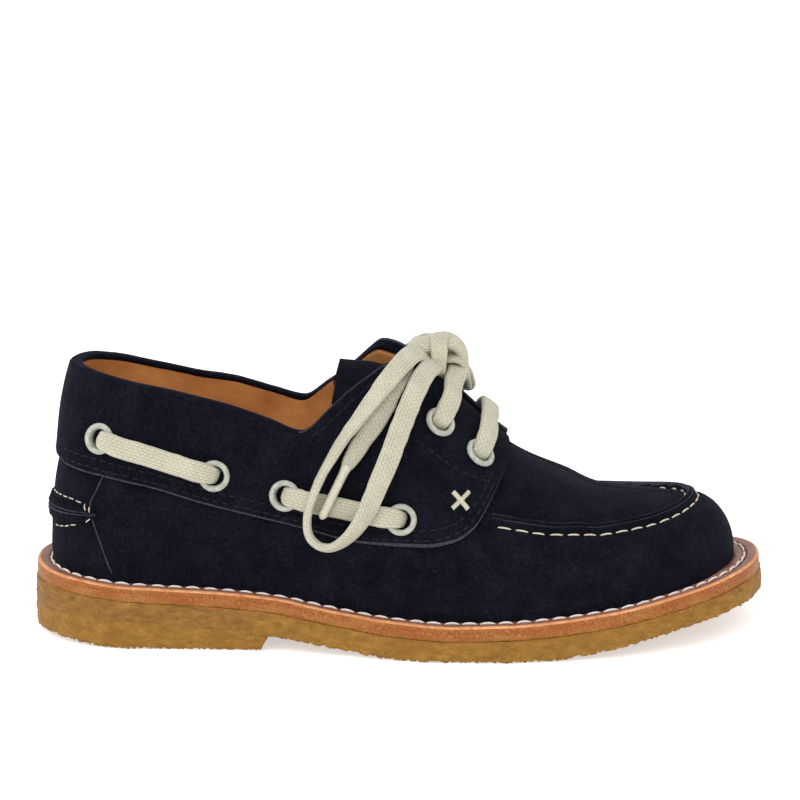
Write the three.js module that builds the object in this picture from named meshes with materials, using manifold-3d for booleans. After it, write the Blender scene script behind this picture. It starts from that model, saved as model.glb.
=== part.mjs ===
// A child's right boat shoe, EU size 30: suede upper on a stitched leather welt and midsole, with a
// crepe rubber sole and heel lift, a collar panel that carries the eyelets, and a flat cotton lace.
// Millimetres. +X points to the toe, +Y to the medial side, +Z up, and the shoe stands on z = 0.

import * as THREE from 'three';
import Module from 'manifold-3d';

const wasm = await Module();
wasm.setup();

// ---------------------------------------------------------------- driving dimensions

const HEEL_X = -106.9; // the ends of the leather
const TOE_X = 106.5;
const GAP = 0.3; // between pieces that touch

const WELT_THICK = 1.5;
const MIDSOLE_THICK = 2.4;
const INSOLE_THICK = 3.4;
const WALL = 2.0; // suede and lining of the upper
const PANEL_THICK = 1.3; // the collar panel that lies over the upper

// How far each outline stands in from the edge of the leather, at the heel, the sides and the toe.
const LEATHER = { heel: 0, side: 0, toe: 0 };
const CREPE = { heel: -0.4, side: -0.9, toe: -0.8 };
const FEATHER = { heel: 5.6, side: 5.8, toe: 7.2 };

// The sole from heel to toe: half-widths before the ends are rounded, the middle line, the height of
// the welt's top, and the underside of the crepe sheet.
const SOLE = [
  { x: -107, lateral: 30.2, medial: 35.2, middle: 2.7, top: 20.4, under: 9.0 },
  { x: -90, lateral: 30.2, medial: 35.2, middle: 2.7, top: 19.0, under: 8.6 },
  { x: -72, lateral: 30.2, medial: 35.2, middle: 2.7, top: 17.8, under: 7.8 },
  { x: -56, lateral: 30.6, medial: 34.2, middle: 2.6, top: 17.0, under: 6.4 },
  { x: -37, lateral: 32.2, medial: 32.8, middle: 2.0, top: 15.5, under: 4.0 },
  { x: -20, lateral: 37.0, medial: 32.6, middle: 1.2, top: 13.2, under: 2.2 },
  { x: 0, lateral: 42.6, medial: 34.8, middle: 1.2, top: 11.0, under: 0.0 },
  { x: 15, lateral: 45.0, medial: 38.0, middle: 1.2, top: 10.4, under: 0.0 },
  { x: 30, lateral: 45.2, medial: 41.6, middle: 1.2, top: 10.7, under: 0.0 },
  { x: 44, lateral: 43.6, medial: 44.2, middle: 2.2, top: 11.5, under: 0.3 },
  { x: 58, lateral: 40.8, medial: 45.2, middle: 3.7, top: 12.9, under: 2.0 },
  { x: 82, lateral: 35.2, medial: 44.0, middle: 6.2, top: 16.5, under: 6.4 },
  { x: 107, lateral: 31.8, medial: 43.2, middle: 7.7, top: 20.9, under: 10.2 },
];

// The round ends of the outline: how far they reach in, and how square they are (2 is an ellipse).
const ROUND_END = { heel: 33, toe: 48, squareness: 2.15 };
const OUTSIDE = { back: -130, below: -20, above: 140, side: 150 }; // past the shoe, for cuts

// The last above the feather line: its ridge, its middle, how square its sections are, and how far
// its sides swell past the feather line. The collar and the throat cut its top away.
const LAST = [
  { x: -107, ridge: 93.0, middle: 2.7, square: 2.5, swell: 0.6 },
  { x: -60, ridge: 94.0, middle: 2.7, square: 2.4, swell: 0.8 },
  { x: -28, ridge: 93.6, middle: 2.0, square: 2.1, swell: 0.8 },
  { x: -10, ridge: 93.4, middle: 1.7, square: 2.0, swell: 0.8 },
  { x: -2, ridge: 88.6, middle: 1.7, square: 2.0, swell: 0.8 },
  { x: 11, ridge: 76.5, middle: 1.7, square: 2.0, swell: 1.0 },
  { x: 20, ridge: 66.6, middle: 1.7, square: 2.0, swell: 1.1 },
  { x: 28, ridge: 58.4, middle: 2.2, square: 2.1, swell: 1.2 },
  { x: 37, ridge: 52.2, middle: 2.6, square: 2.2, swell: 1.2 },
  { x: 50, ridge: 46.2, middle: 3.4, square: 2.4, swell: 1.2 },
  { x: 60, ridge: 41.4, middle: 4.2, square: 2.5, swell: 1.0 },
  { x: 80, ridge: 39.8, middle: 6.2, square: 2.5, swell: 0.6 },
  { x: 107, ridge: 39.8, middle: 7.7, square: 2.3, swell: 0.2 },
];

// Around the toe and the heel the sections fan in to the ends of the ridge.
const SWELL = { height: 0.8, halfWidth: 30 }; // how much of the height swells, for what width
const FAN = { toeFrom: 40, toePull: 19, heelFrom: -50, heelPull: 22 };

// How far the back of the heel stands out past its section, by height.
const HEEL_CURVE = [
  { x: 18, out: -0.4 },
  { x: 24, out: 0.6 },
  { x: 33, out: 1.0 },
  { x: 44, out: 0.2 },
  { x: 54, out: -0.9 },
  { x: 66, out: -0.5 },
  { x: 80, out: -0.2 },
];

// The topline from the side, from behind the heel to the top corner of each facing.
const TOPLINE = [
  { x: -130, lateral: 79.4, medial: 79.4 },
  { x: -94, lateral: 79.4, medial: 79.4 },
  { x: -86, lateral: 78.2, medial: 77.9 },
  { x: -76, lateral: 76.1, medial: 75.3 },
  { x: -67, lateral: 74.1, medial: 73.1 },
  { x: -59, lateral: 71.9, medial: 71.0 },
  { x: -46, lateral: 68.2, medial: 67.4 },
  { x: -37, lateral: 65.2, medial: 64.8 },
  { x: -28.6, lateral: 62.4, medial: 62.6 },
  { x: -20, lateral: 69.2, medial: 69.6 },
  { x: -14.8, lateral: 73.9, medial: 73.9 },
  { x: -8.4, lateral: 78.4, medial: 80.2 },
  { x: -5, lateral: 80.4, medial: 83.6 },
  { x: -1.5, lateral: 81.2, medial: 84.4 },
  { x: 8, lateral: 81.2, medial: 84.4 },
];
const FACING_TOP_X = 8;

// The throat seen from above: half the gap between the facings, in the panel and in the vamp, where
// it stops sooner.
const THROAT = [
  { x: -40, panel: 18.0, vamp: 18.0 },
  { x: -2, panel: 12.4, vamp: 12.6 },
  { x: 11, panel: 10.2, vamp: 10.4 },
  { x: 20, panel: 8.2, vamp: 8.4 },
  { x: 26, panel: 6.0, vamp: 5.6 },
  { x: 28.5, panel: 4.8, vamp: 3.0 },
  { x: 30, panel: 4.6, vamp: 0.4 },
  { x: 33, panel: 7.0, vamp: 0 },
];

const THROAT_FLOOR = 45; // nothing below this height is cut by the throat

// The lower and front edge of the collar panel from the side, from behind the heel to the throat.
const PANEL_EDGE = [
  { x: -130, z: 52.0 },
  { x: -100.5, z: 52.0 },
  { x: -97, z: 50.8 },
  { x: -84.6, z: 49.0 },
  { x: -71.6, z: 46.3 },
  { x: -59, z: 42.5 },
  { x: -45.4, z: 39.1 },
  { x: -28, z: 35.5 },
  { x: -10.7, z: 32.3 },
  { x: 6.8, z: 32.1 },
  { x: 15.2, z: 33.6 },
  { x: 21, z: 37.1 },
  { x: 24, z: 41.1 },
  { x: 27, z: 46.0 },
  { x: 30.1, z: 51.1 },
  { x: 31.9, z: 53.4 },
  { x: 32.0, z: 55.5 },
  { x: 30.8, z: 58.5 },
  { x: 28, z: 62.0 },
];

// The tongue: the middle of its upper side, half its width, and how far its edges hang below.
const TONGUE = [
  { x: -17.5, ridge: 78.8, half: 16.0, drop: 13.0 },
  { x: -9, ridge: 78.0, half: 16.0, drop: 11.0 },
  { x: 0, ridge: 75.0, half: 16.0, drop: 8.6 },
  { x: 10, ridge: 69.6, half: 15.6, drop: 6.6 },
  { x: 20, ridge: 62.0, half: 15.0, drop: 5.4 },
  { x: 28, ridge: 55.4, half: 14.0, drop: 4.6 },
  { x: 36, ridge: 50.2, half: 13.0, drop: 4.0 },
];
const TONGUE_THICK = 2.2;
const TONGUE_SWEEP = 3; // how far its edges trail behind its middle

// Where the eyelets sit on each side of the panel, seen from the side.
const EYELETS = [
  { name: 'heel', x: -86.1, z: 59.9 },
  { name: 'rear', x: -53.2, z: 49.9 },
  { name: 'waist', x: -32.9, z: 44.6 },
  { name: 'ball', x: 0.3, z: 39.7 },
  { name: 'top', x: 11.4, z: 65.0 },
  { name: 'front', x: 22.9, z: 55.8 },
];
const RING = { outer: 4.7, barrel: 3.4, hole: 2.9, depth: 3.0, seat: 0.6, rise: 1.5, edge: 0.3, lip: 0.5 };
const EYELET_CUT = 3.85; // radius of the hole in the leather
const EYELET_REACH = 14; // length of that cut
const EYELET_SIDES = 10;

// The raised seam round the heel, seen from the side.
const HEEL_SEAM = [
  { x: -130, top: 39.6, bottom: 32.8 },
  { x: -101, top: 39.6, bottom: 32.8 },
  { x: -96, top: 39.4, bottom: 34.0 },
  { x: -90, top: 39.0, bottom: 35.6 },
  { x: -87, top: 38.2, bottom: 36.6 },
];
const HEEL_SEAM_PROUD = 1.8;

// The flat lace.
const LACE = { width: 6.0, thick: 2.4, corner: 0.3 };
const ROUND_SIDES = 10; // of the stubs and aglets
// The middle of a side bar above the panel, and how soon it rises towards its ends.
const BAR_LIFT = { end: 3.8, middle: 1.9, rise: 1.6, steps: 6 };
const STUB = { radius: 2.2, depth: 2.6 }; // where a lace goes down into an eyelet

const THROAT_MIDDLE = 1.7; // in y
// How a lace climbs the panel from a front eyelet, and its height over the panel on the way.
const CLIMB = [
  { up: -0.6, lift: 3.9 },
  { up: 2.0, lift: 3.8 },
  { up: 4.6, lift: 3.2 },
  { up: 6.6, lift: 2.2 },
];
const FORWARD = { top: 0.4, front: 0.25 }; // how far it goes forward as it climbs
// The bar over the throat: its middle, half the flat part, how it drops away, and how its face leans.
const CROSS = { x: 26.6, z: 64.9, half: 4.6, drop: 0.02, lean: 0.85, turn: 0.045, steps: 14 };

// The knot over the throat.
const KNOT = { x: 11.0, y: 1.7, z: 79.9, length: 19, width: 17, height: 13.2 };

// The free laces by their middle lines; turn is 0 where the flat face looks out from the shoe and 90
// where the lace is on edge.
const LOOP_LATERAL = [
  { x: 4.9, y: -7.6, z: 85.5, turn: 0 },
  { x: 3.2, y: -13.8, z: 85.9, turn: 5 },
  { x: 0.0, y: -21.6, z: 83.0, turn: 10 },
  { x: -4.0, y: -26.8, z: 78.0, turn: 25 },
  { x: -9.1, y: -29.6, z: 71.4, turn: 50 },
  { x: -16.8, y: -33.8, z: 61.2, turn: 75 },
  { x: -23.0, y: -36.8, z: 50.6, turn: 85 },
  { x: -26.1, y: -38.2, z: 41.8, turn: 90 },
  { x: -25.9, y: -38.6, z: 36.0, turn: 90 },
  { x: -23.2, y: -39.0, z: 32.8, turn: 85 },
  { x: -19.4, y: -39.4, z: 32.2, turn: 75 },
  { x: -14.4, y: -40.6, z: 35.6, turn: 60 },
  { x: -10.3, y: -42.0, z: 41.4, turn: 40 },
  { x: -6.5, y: -40.4, z: 49.7, turn: 20 },
  { x: -2.7, y: -38.2, z: 58.7, turn: 10 },
  { x: 0.6, y: -33.6, z: 66.8, turn: 5 },
  { x: 4.3, y: -26.6, z: 74.0, turn: 0 },
  { x: 8.2, y: -18.6, z: 79.2, turn: 0 },
  { x: 10.2, y: -10.8, z: 81.4, turn: 0 },
];
const LOOP_MEDIAL = [
  { x: 10.0, y: 12.2, z: 82.6, turn: 0 },
  { x: 7.0, y: 18.8, z: 80.6, turn: 10 },
  { x: 1.6, y: 25.4, z: 75.2, turn: 30 },
  { x: -4.4, y: 29.8, z: 68.0, turn: 50 },
  { x: -12.0, y: 33.4, z: 58.8, turn: 75 },
  { x: -17.6, y: 35.2, z: 50.2, turn: 85 },
  { x: -20.4, y: 36.2, z: 42.8, turn: 90 },
  { x: -20.2, y: 36.6, z: 37.4, turn: 90 },
  { x: -17.4, y: 37.0, z: 34.2, turn: 85 },
  { x: -13.4, y: 37.4, z: 33.9, turn: 75 },
  { x: -8.6, y: 37.8, z: 37.2, turn: 60 },
  { x: -3.6, y: 38.4, z: 43.4, turn: 40 },
  { x: 1.6, y: 37.6, z: 50.8, turn: 20 },
  { x: 7.4, y: 34.4, z: 57.6, turn: 10 },
  { x: 12.8, y: 30.2, z: 63.6, turn: 5 },
  { x: 17.4, y: 23.8, z: 68.4, turn: 0 },
  { x: 20.4, y: 16.8, z: 71.2, turn: 0 },
  { x: 21.6, y: 10.6, z: 74.2, turn: 0 },
];
const END_LATERAL = [
  { x: 1.9, y: -11.2, z: 83.3, turn: 0 },
  { x: 0.4, y: -18.4, z: 81.6, turn: 0 },
  { x: -2.1, y: -24.2, z: 75.3, turn: 0 },
  { x: -5.6, y: -28.4, z: 68.8, turn: 0 },
  { x: -9.6, y: -30.8, z: 63.0, turn: 0 },
  { x: -13.2, y: -33.0, z: 57.6, turn: 0 },
  { x: -15.4, y: -34.4, z: 54.0, turn: 0 },
];
const END_MEDIAL = [
  { x: 11.4, y: 11.8, z: 77.9, turn: 0 },
  { x: 9.6, y: 18.2, z: 76.2, turn: 0 },
  { x: 7.6, y: 23.8, z: 70.6, turn: 0 },
  { x: 3.6, y: 27.6, z: 64.8, turn: 0 },
  { x: -0.4, y: 30.4, z: 59.2, turn: 0 },
  { x: -3.6, y: 32.0, z: 54.4, turn: 0 },
];
const AGLET_LATERAL = [
  { x: -15.6, y: -34.8, z: 53.6 },
  { x: -22.4, y: -37.4, z: 40.0 },
];
const AGLET_MEDIAL = [
  { x: -4.0, y: 32.2, z: 54.0 },
  { x: -12.2, y: 35.6, z: 41.2 },
];
const AGLET_RADIUS = 1.6;

const STATIONS = 24; // from heel to toe along one side
const ROWS = 8; // from the feather line to the ridge

// ---------------------------------------------------------------- curves and forms

// A smooth curve through one column of a table that never overshoots its rows.
function curveOf(rows, column) {
  const slope = rows.slice(1).map((row, i) => (row[column] - rows[i][column]) / (row.x - rows[i].x));
  const tangent = rows.map((_, i) => {
    const before = slope[Math.max(i - 1, 0)];
    const after = slope[Math.min(i, slope.length - 1)];
    return before * after <= 0 ? 0 : (2 * before * after) / (before + after);
  });
  return (at) => {
    const x = THREE.MathUtils.clamp(at, rows[0].x, rows[rows.length - 1].x);
    const i = Math.max(0, rows.findIndex((row, k) => k > 0 && x <= row.x) - 1);
    const span = rows[i + 1].x - rows[i].x;
    const u = (x - rows[i].x) / span;
    const start = rows[i][column] * (1 + 2 * u) * (1 - u) ** 2 + tangent[i] * span * u * (1 - u) ** 2;
    const end = rows[i + 1][column] * u * u * (3 - 2 * u) - tangent[i + 1] * span * u * u * (1 - u);
    return start + end;
  };
}

function curvesOf(rows) {
  const columns = Object.keys(rows[0]).filter((name) => name !== 'x');
  return Object.fromEntries(columns.map((name) => [name, curveOf(rows, name)]));
}

const sole = curvesOf(SOLE);
const last = curvesOf(LAST);
const heelCurve = curveOf(HEEL_CURVE, 'out');
const tongueShape = curvesOf(TONGUE);

// One round end of the outline: 0 at its tip and 1 where it meets the sides.
function roundEnd(distance, reach) {
  const u = THREE.MathUtils.clamp(distance / reach, 0, 1);
  return (1 - (1 - u) ** ROUND_END.squareness) ** (1 / ROUND_END.squareness);
}

// A point of the outline, angle 0 at the toe and PI at the heel, negative on the lateral side, moved
// in by inset.heel, inset.side and inset.toe.
function outline(angle, inset) {
  const heel = HEEL_X + inset.heel;
  const toe = TOE_X - inset.toe;
  const x = (heel + toe) / 2 + ((toe - heel) / 2) * Math.cos(angle);
  const atHeel = roundEnd(x - heel, ROUND_END.heel - inset.side);
  const atToe = roundEnd(toe - x, ROUND_END.toe - inset.side);
  const taper = atHeel * atToe;
  const side = angle < 0 ? -1 : 1;
  const half = (angle < 0 ? sole.lateral(x) : sole.medial(x)) - inset.side;
  const middle = sole.middle(x);
  return { x, y: middle + taper * (side * half - middle), side };
}

// All the angles of a closed outline, from the toe along the lateral side to the heel and back.
const ANGLES = Array.from({ length: 2 * STATIONS }, (_, i) => {
  const turn = (Math.PI * i) / STATIONS;
  return turn <= Math.PI ? -turn : 2 * Math.PI - turn;
});

// A point of the last grown by offset: angle goes round it, and rise goes from 0 at the feather line
// to 1 at the ridge.
function lastPoint(angle, rise, offset) {
  const inset = {
    heel: FEATHER.heel - offset,
    side: FEATHER.side - offset,
    toe: FEATHER.toe - offset,
  };
  const foot = outline(angle, inset);
  const toeTurn = Math.max(0, (foot.x - FAN.toeFrom) / (TOE_X - FEATHER.toe - FAN.toeFrom));
  const heelTurn = Math.max(0, (FAN.heelFrom - foot.x) / (FAN.heelFrom - HEEL_X - FEATHER.heel));
  const ridgeX = foot.x - FAN.toePull * toeTurn ** 3 + FAN.heelPull * heelTurn ** 2;
  const power = 2 / last.square(foot.x);
  const bend = (rise * Math.PI) / 2;
  const across = Math.max(0, Math.cos(bend)) ** power;
  const up = Math.sin(bend) ** power;
  const swell = last.swell(foot.x) * Math.sin(Math.PI * Math.min(1, up / SWELL.height));
  const reach = across * (1 + swell / SWELL.halfWidth);
  const bottom = sole.top(foot.x) + GAP;
  const top = last.ridge(ridgeX) + offset;
  const middle = last.middle(ridgeX);
  const z = bottom + (top - bottom) * up;
  return new THREE.Vector3(
    ridgeX + (foot.x - ridgeX) * reach - heelCurve(z) * heelTurn ** 2,
    middle + (foot.y - middle) * reach,
    z,
  );
}

// The value between low and high where a rising function reaches a target.
function solve(low, high, target, rising) {
  let [a, b] = [low, high];
  for (let i = 0; i < 40; i++) {
    const mid = (a + b) / 2;
    if (rising(mid) < target) a = mid;
    else b = mid;
  }
  return (a + b) / 2;
}

// The point of the last, grown by offset, at x and z on one side (-1 lateral, 1 medial), with the
// normal there.
function lastAt(x, z, side, offset) {
  const angleAt = (rise) => side * solve(0, Math.PI, -x, (turn) => -lastPoint(side * turn, rise, offset).x);
  const rise = solve(0.02, 0.98, z, (r) => lastPoint(angleAt(r), r, offset).z);
  const angle = angleAt(rise);
  const step = 1e-3;
  const along = lastPoint(angle + step, rise, offset).sub(lastPoint(angle - step, rise, offset));
  const up = lastPoint(angle, rise + step, offset).sub(lastPoint(angle, rise - step, offset));
  return { point: lastPoint(angle, rise, offset), normal: along.cross(up).normalize() };
}

// ---------------------------------------------------------------- meshes and solids

// A closed body through rings with the same number of points. Each end is closed across, from the
// first point against the last one inwards, so a ring that folds flat onto itself closes as a seam.
function bodyThrough(rings) {
  const index = new Map();
  const positions = [];
  const vertex = (p) => {
    const key = [p.x, p.y, p.z].map((v) => v.toFixed(4)).join();
    if (!index.has(key)) {
      index.set(key, positions.length / 3);
      positions.push(p.x, p.y, p.z);
    }
    return index.get(key);
  };
  const triangles = [];
  const face = (...corners) => {
    const [a, b, c] = corners.map(vertex);
    if (a !== b && b !== c && c !== a) triangles.push(a, b, c);
  };
  const count = rings[0].length;
  for (let i = 0; i + 1 < rings.length; i++) {
    for (let k = 0; k < count; k++) {
      const next = (k + 1) % count;
      face(rings[i][k], rings[i][next], rings[i + 1][next]);
      face(rings[i][k], rings[i + 1][next], rings[i + 1][k]);
    }
  }
  const close = (ring, turned) => {
    const capFace = (a, b, c) => (turned ? face(a, b, c) : face(a, c, b));
    for (let near = 0; near < count / 2; near++) {
      const far = count - near;
      capFace(ring[near], ring[near + 1], ring[far - 1]);
      if (near > 0) capFace(ring[near], ring[far - 1], ring[far]);
    }
  };
  close(rings[0], false);
  close(rings[rings.length - 1], true);
  return solid(positions, triangles);
}

function solid(positions, triangles) {
  const made = new wasm.Manifold(
    new wasm.Mesh({
      numProp: 3,
      vertProperties: new Float32Array(positions),
      triVerts: new Uint32Array(triangles),
    }),
  );
  if (made.volume() >= 0) return made;
  const turned = triangles.map((_, i) => triangles[i - (i % 3) + 2 - (i % 3)]);
  return solid(positions, turned);
}

function solidOfGeometry(geometry) {
  const flat = geometry.index ? geometry.toNonIndexed() : geometry;
  const position = flat.getAttribute('position');
  const index = new Map();
  const positions = [];
  const triangles = [];
  for (let i = 0; i < position.count; i++) {
    const p = new THREE.Vector3().fromBufferAttribute(position, i);
    const key = p.toArray().map((v) => v.toFixed(4)).join();
    if (!index.has(key)) {
      index.set(key, positions.length / 3);
      positions.push(p.x, p.y, p.z);
    }
    triangles.push(index.get(key));
  }
  const kept = [];
  for (let i = 0; i < triangles.length; i += 3) {
    const [a, b, c] = triangles.slice(i, i + 3);
    if (a !== b && b !== c && c !== a) kept.push(a, b, c);
  }
  return solid(positions, kept);
}

function geometryOf(body) {
  const mesh = body.getMesh();
  const positions = new Float32Array(mesh.numVert * 3);
  for (let i = 0; i < mesh.numVert; i++) {
    positions.set(mesh.vertProperties.subarray(i * mesh.numProp, i * mesh.numProp + 3), i * 3);
  }
  return new THREE.BufferGeometry()
    .setAttribute('position', new THREE.BufferAttribute(positions, 3))
    .setIndex(new THREE.BufferAttribute(new Uint32Array(mesh.triVerts), 1));
}

// A prism through the whole shoe: points of the side view pushed along Y, or of the plan along Z.
function prism(points, direction) {
  const shape = new THREE.Shape(points.map((p) => new THREE.Vector2(p.a, p.b)));
  const depth = 2 * OUTSIDE.side;
  const geometry = new THREE.ExtrudeGeometry(shape, { depth, bevelEnabled: false, steps: 1 });
  geometry.translate(0, 0, -OUTSIDE.side);
  if (direction === 'y') geometry.rotateX(Math.PI / 2);
  return solidOfGeometry(geometry);
}

// ---------------------------------------------------------------- the sole

// A layer of the sole: flat across, between two heights that follow the length.
function layer(inset, lower, upper) {
  const ring = (height) =>
    ANGLES.map((angle) => {
      const p = outline(angle, inset);
      return new THREE.Vector3(p.x, p.y, height(p.x));
    });
  return bodyThrough([ring(lower), ring(upper)]);
}

const weltTop = (x) => sole.top(x);
const midsoleTop = (x) => sole.top(x) - WELT_THICK - GAP;
const crepeTop = (x) => midsoleTop(x) - MIDSOLE_THICK - GAP;

function outsole() {
  return layer(CREPE, sole.under, crepeTop);
}

const BREAST = { foot: -40.6, head: -37.8, height: 3.6, least: 1 }; // the heel lift's front face

function heelLift() {
  const lift = layer(CREPE, () => 0, (x) => Math.max(BREAST.least, sole.under(x) - GAP));
  const behind = prism(
    [
      { a: OUTSIDE.back, b: OUTSIDE.below },
      { a: BREAST.foot, b: OUTSIDE.below },
      { a: BREAST.foot, b: 0 },
      { a: BREAST.head, b: BREAST.height },
      { a: BREAST.head, b: OUTSIDE.above },
      { a: OUTSIDE.back, b: OUTSIDE.above },
    ],
    'y',
  );
  return lift.intersect(behind);
}

function midsole() {
  return layer(LEATHER, (x) => midsoleTop(x) - MIDSOLE_THICK, midsoleTop);
}

const WELT_HOLE = 0.4; // how far the welt reaches in past the wall of the upper
const CUT_DEPTH = 9; // of a cut that goes right through a thin layer

function insetPastWall(extra) {
  return {
    heel: FEATHER.heel + WALL + extra,
    side: FEATHER.side + WALL + extra,
    toe: FEATHER.toe + WALL + extra,
  };
}

function welt() {
  const whole = layer(LEATHER, (x) => weltTop(x) - WELT_THICK, weltTop);
  const hole = layer(insetPastWall(WELT_HOLE), (x) => weltTop(x) - CUT_DEPTH, (x) => weltTop(x) + CUT_DEPTH);
  return whole.subtract(hole);
}

function insole() {
  const bottom = (x) => midsoleTop(x) + GAP;
  return layer(insetPastWall(WELT_HOLE + GAP), bottom, (x) => bottom(x) + INSOLE_THICK);
}

// ---------------------------------------------------------------- the upper

// The whole last grown by offset, closed underneath at its feather line moved down by drop.
function lastForm(offset, drop = 0) {
  const rings = [];
  if (drop > 0) {
    rings.push(ANGLES.map((angle) => lastPoint(angle, 0, offset).add(new THREE.Vector3(0, 0, -drop))));
  }
  for (let row = 0; row <= ROWS; row++) {
    rings.push(ANGLES.map((angle) => lastPoint(angle, row / ROWS, offset)));
  }
  return bodyThrough(rings);
}

// Everything above the topline, over the collar and behind the facings.
function aboveTopline() {
  const half = (column, side) => {
    const line = TOPLINE.map((row) => ({ a: row.x, b: row[column] }));
    const above = [FACING_TOP_X, OUTSIDE.back].map((a) => ({ a, b: OUTSIDE.above }));
    const sheet = prism([...line, ...above], 'y');
    return sheet.trimByPlane([0, side, 0], 0);
  };
  return half('lateral', -1).add(half('medial', 1));
}

// Everything in the gap between the facings.
function inThroat(column) {
  const rows = THROAT.filter((row) => row[column] > 0);
  const near = rows.map((row) => ({ a: row.x, b: last.middle(row.x) - row[column] }));
  const far = rows.map((row) => ({ a: row.x, b: last.middle(row.x) + row[column] })).reverse();
  return prism([...near, ...far], 'z').trimByPlane([0, 0, 1], THROAT_FLOOR);
}

// A solid made about the origin along +Z, set on the panel's outer face at an eyelet.
function setOnPanel(geometry, eyelet, side) {
  const { point, normal } = lastAt(eyelet.x, eyelet.z, side, GAP + PANEL_THICK);
  const turn = new THREE.Quaternion().setFromUnitVectors(new THREE.Vector3(0, 0, 1), normal);
  return solidOfGeometry(geometry.applyQuaternion(turn).translate(point.x, point.y, point.z));
}

function eyeletHoles() {
  const holes = [-1, 1].flatMap((side) =>
    EYELETS.map((eyelet) => {
      const cylinder = new THREE.CylinderGeometry(EYELET_CUT, EYELET_CUT, EYELET_REACH, EYELET_SIDES);
      return setOnPanel(cylinder.rotateX(Math.PI / 2), eyelet, side);
    }),
  );
  return holes.reduce((all, hole) => all.add(hole));
}

function eyelet(where, side) {
  const { outer, barrel, hole, depth, seat, rise, edge, lip } = RING;
  const profile = [
    [hole, -depth],
    [barrel, -depth],
    [barrel, seat],
    [outer, seat],
    [outer - edge, rise],
    [barrel, rise],
    [hole, rise - lip],
    [hole, -depth],
  ].map(([radius, height]) => new THREE.Vector2(radius, height));
  const ring = new THREE.LatheGeometry(profile, EYELET_SIDES).rotateX(Math.PI / 2);
  return setOnPanel(ring, where, side);
}

function upper() {
  return lastForm(0)
    .subtract(lastForm(-WALL, 4))
    .subtract(aboveTopline())
    .subtract(inThroat('vamp'))
    .subtract(eyeletHoles());
}

function collarPanel() {
  const outside = lastForm(GAP + PANEL_THICK);
  const inside = lastForm(GAP, 4);
  const edge = PANEL_EDGE.map((row) => ({ a: row.x, b: row.z }));
  const band = prism([...edge, { a: 20, b: OUTSIDE.above }, { a: OUTSIDE.back, b: OUTSIDE.above }], 'y');
  return outside
    .subtract(inside)
    .intersect(band)
    .subtract(aboveTopline())
    .subtract(inThroat('panel'))
    .subtract(eyeletHoles());
}

function heelSeam() {
  const top = HEEL_SEAM.map((row) => ({ a: row.x, b: row.top }));
  const bottom = HEEL_SEAM.map((row) => ({ a: row.x, b: row.bottom })).reverse();
  const outside = lastForm(GAP + HEEL_SEAM_PROUD);
  return outside.subtract(lastForm(GAP, 4)).intersect(prism([...top, ...bottom], 'y'));
}

const TONGUE_STATIONS = 10;
const TONGUE_COLUMNS = 6;

function tongue() {
  const first = TONGUE[0].x;
  const end = TONGUE[TONGUE.length - 1].x;
  const rings = [];
  for (let i = 0; i <= TONGUE_STATIONS; i++) {
    const x = first + ((end - first) * i) / TONGUE_STATIONS;
    const across = (turn, thick) => {
      const y = last.middle(x) + tongueShape.half(x) * turn;
      const z = tongueShape.ridge(x) - thick - tongueShape.drop(x) * turn ** 2;
      return new THREE.Vector3(x - TONGUE_SWEEP * turn ** 2, y, z);
    };
    const turns = Array.from({ length: TONGUE_COLUMNS + 1 }, (_, k) => (2 * k) / TONGUE_COLUMNS - 1);
    const above = turns.map((turn) => across(turn, 0));
    const below = turns.map((turn) => across(turn, TONGUE_THICK)).reverse();
    rings.push([...above, ...below]);
  }
  return bodyThrough(rings);
}

// ---------------------------------------------------------------- the lace

// A flat strip along points, each with the direction its face looks, ending square.
function strip(points, normals, width, thick) {
  const corner = LACE.corner;
  const outlineOf = [
    [-0.5, 0.5 - corner],
    [-0.5 + corner / 2, 0.5],
    [0.5 - corner / 2, 0.5],
    [0.5, 0.5 - corner],
    [0.5, -0.5 + corner],
    [0.5 - corner / 2, -0.5],
    [-0.5 + corner / 2, -0.5],
    [-0.5, -0.5 + corner],
  ];
  const rings = points.map((point, i) => {
    const before = points[Math.max(i - 1, 0)];
    const after = points[Math.min(i + 1, points.length - 1)];
    const along = after.clone().sub(before).normalize();
    const across = normals[i].clone().cross(along).normalize();
    const out = along.clone().cross(across).normalize();
    return outlineOf.map(([a, o]) =>
      point.clone().addScaledVector(across, a * width).addScaledVector(out, o * thick),
    );
  });
  return bodyThrough(rings);
}

// A place over the panel at x and z, lifted along the panel's normal.
function overPanel(x, z, side, lift) {
  const { point, normal } = lastAt(x, z, side, GAP + PANEL_THICK);
  return { point: point.addScaledVector(normal, lift), normal };
}

// The part of a lace that goes down into an eyelet, from the strip above it.
function stub(eyelet, side, lift) {
  const { radius, depth } = STUB;
  const length = lift + depth;
  const rod = new THREE.CylinderGeometry(radius, radius, length, ROUND_SIDES).rotateX(Math.PI / 2);
  return setOnPanel(rod.translate(0, 0, lift - length / 2), eyelet, side);
}

const eyeletNamed = (name) => EYELETS.find((eyelet) => eyelet.name === name);

// A bar of lace over the panel from one eyelet to the next.
function sideBar(from, to, side) {
  const steps = BAR_LIFT.steps;
  const stations = Array.from({ length: steps + 1 }, (_, i) => i / steps);
  const places = stations.map((t) => {
    const nearEnd = Math.min(1, BAR_LIFT.rise * (2 * t - 1) ** 2);
    const lift = BAR_LIFT.middle + (BAR_LIFT.end - BAR_LIFT.middle) * nearEnd;
    return overPanel(from.x + (to.x - from.x) * t, from.z + (to.z - from.z) * t, side, lift);
  });
  const bar = strip(
    places.map((place) => place.point),
    places.map((place) => place.normal),
    LACE.width,
    LACE.thick,
  );
  return bar.add(stub(from, side, BAR_LIFT.end)).add(stub(to, side, BAR_LIFT.end));
}

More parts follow.
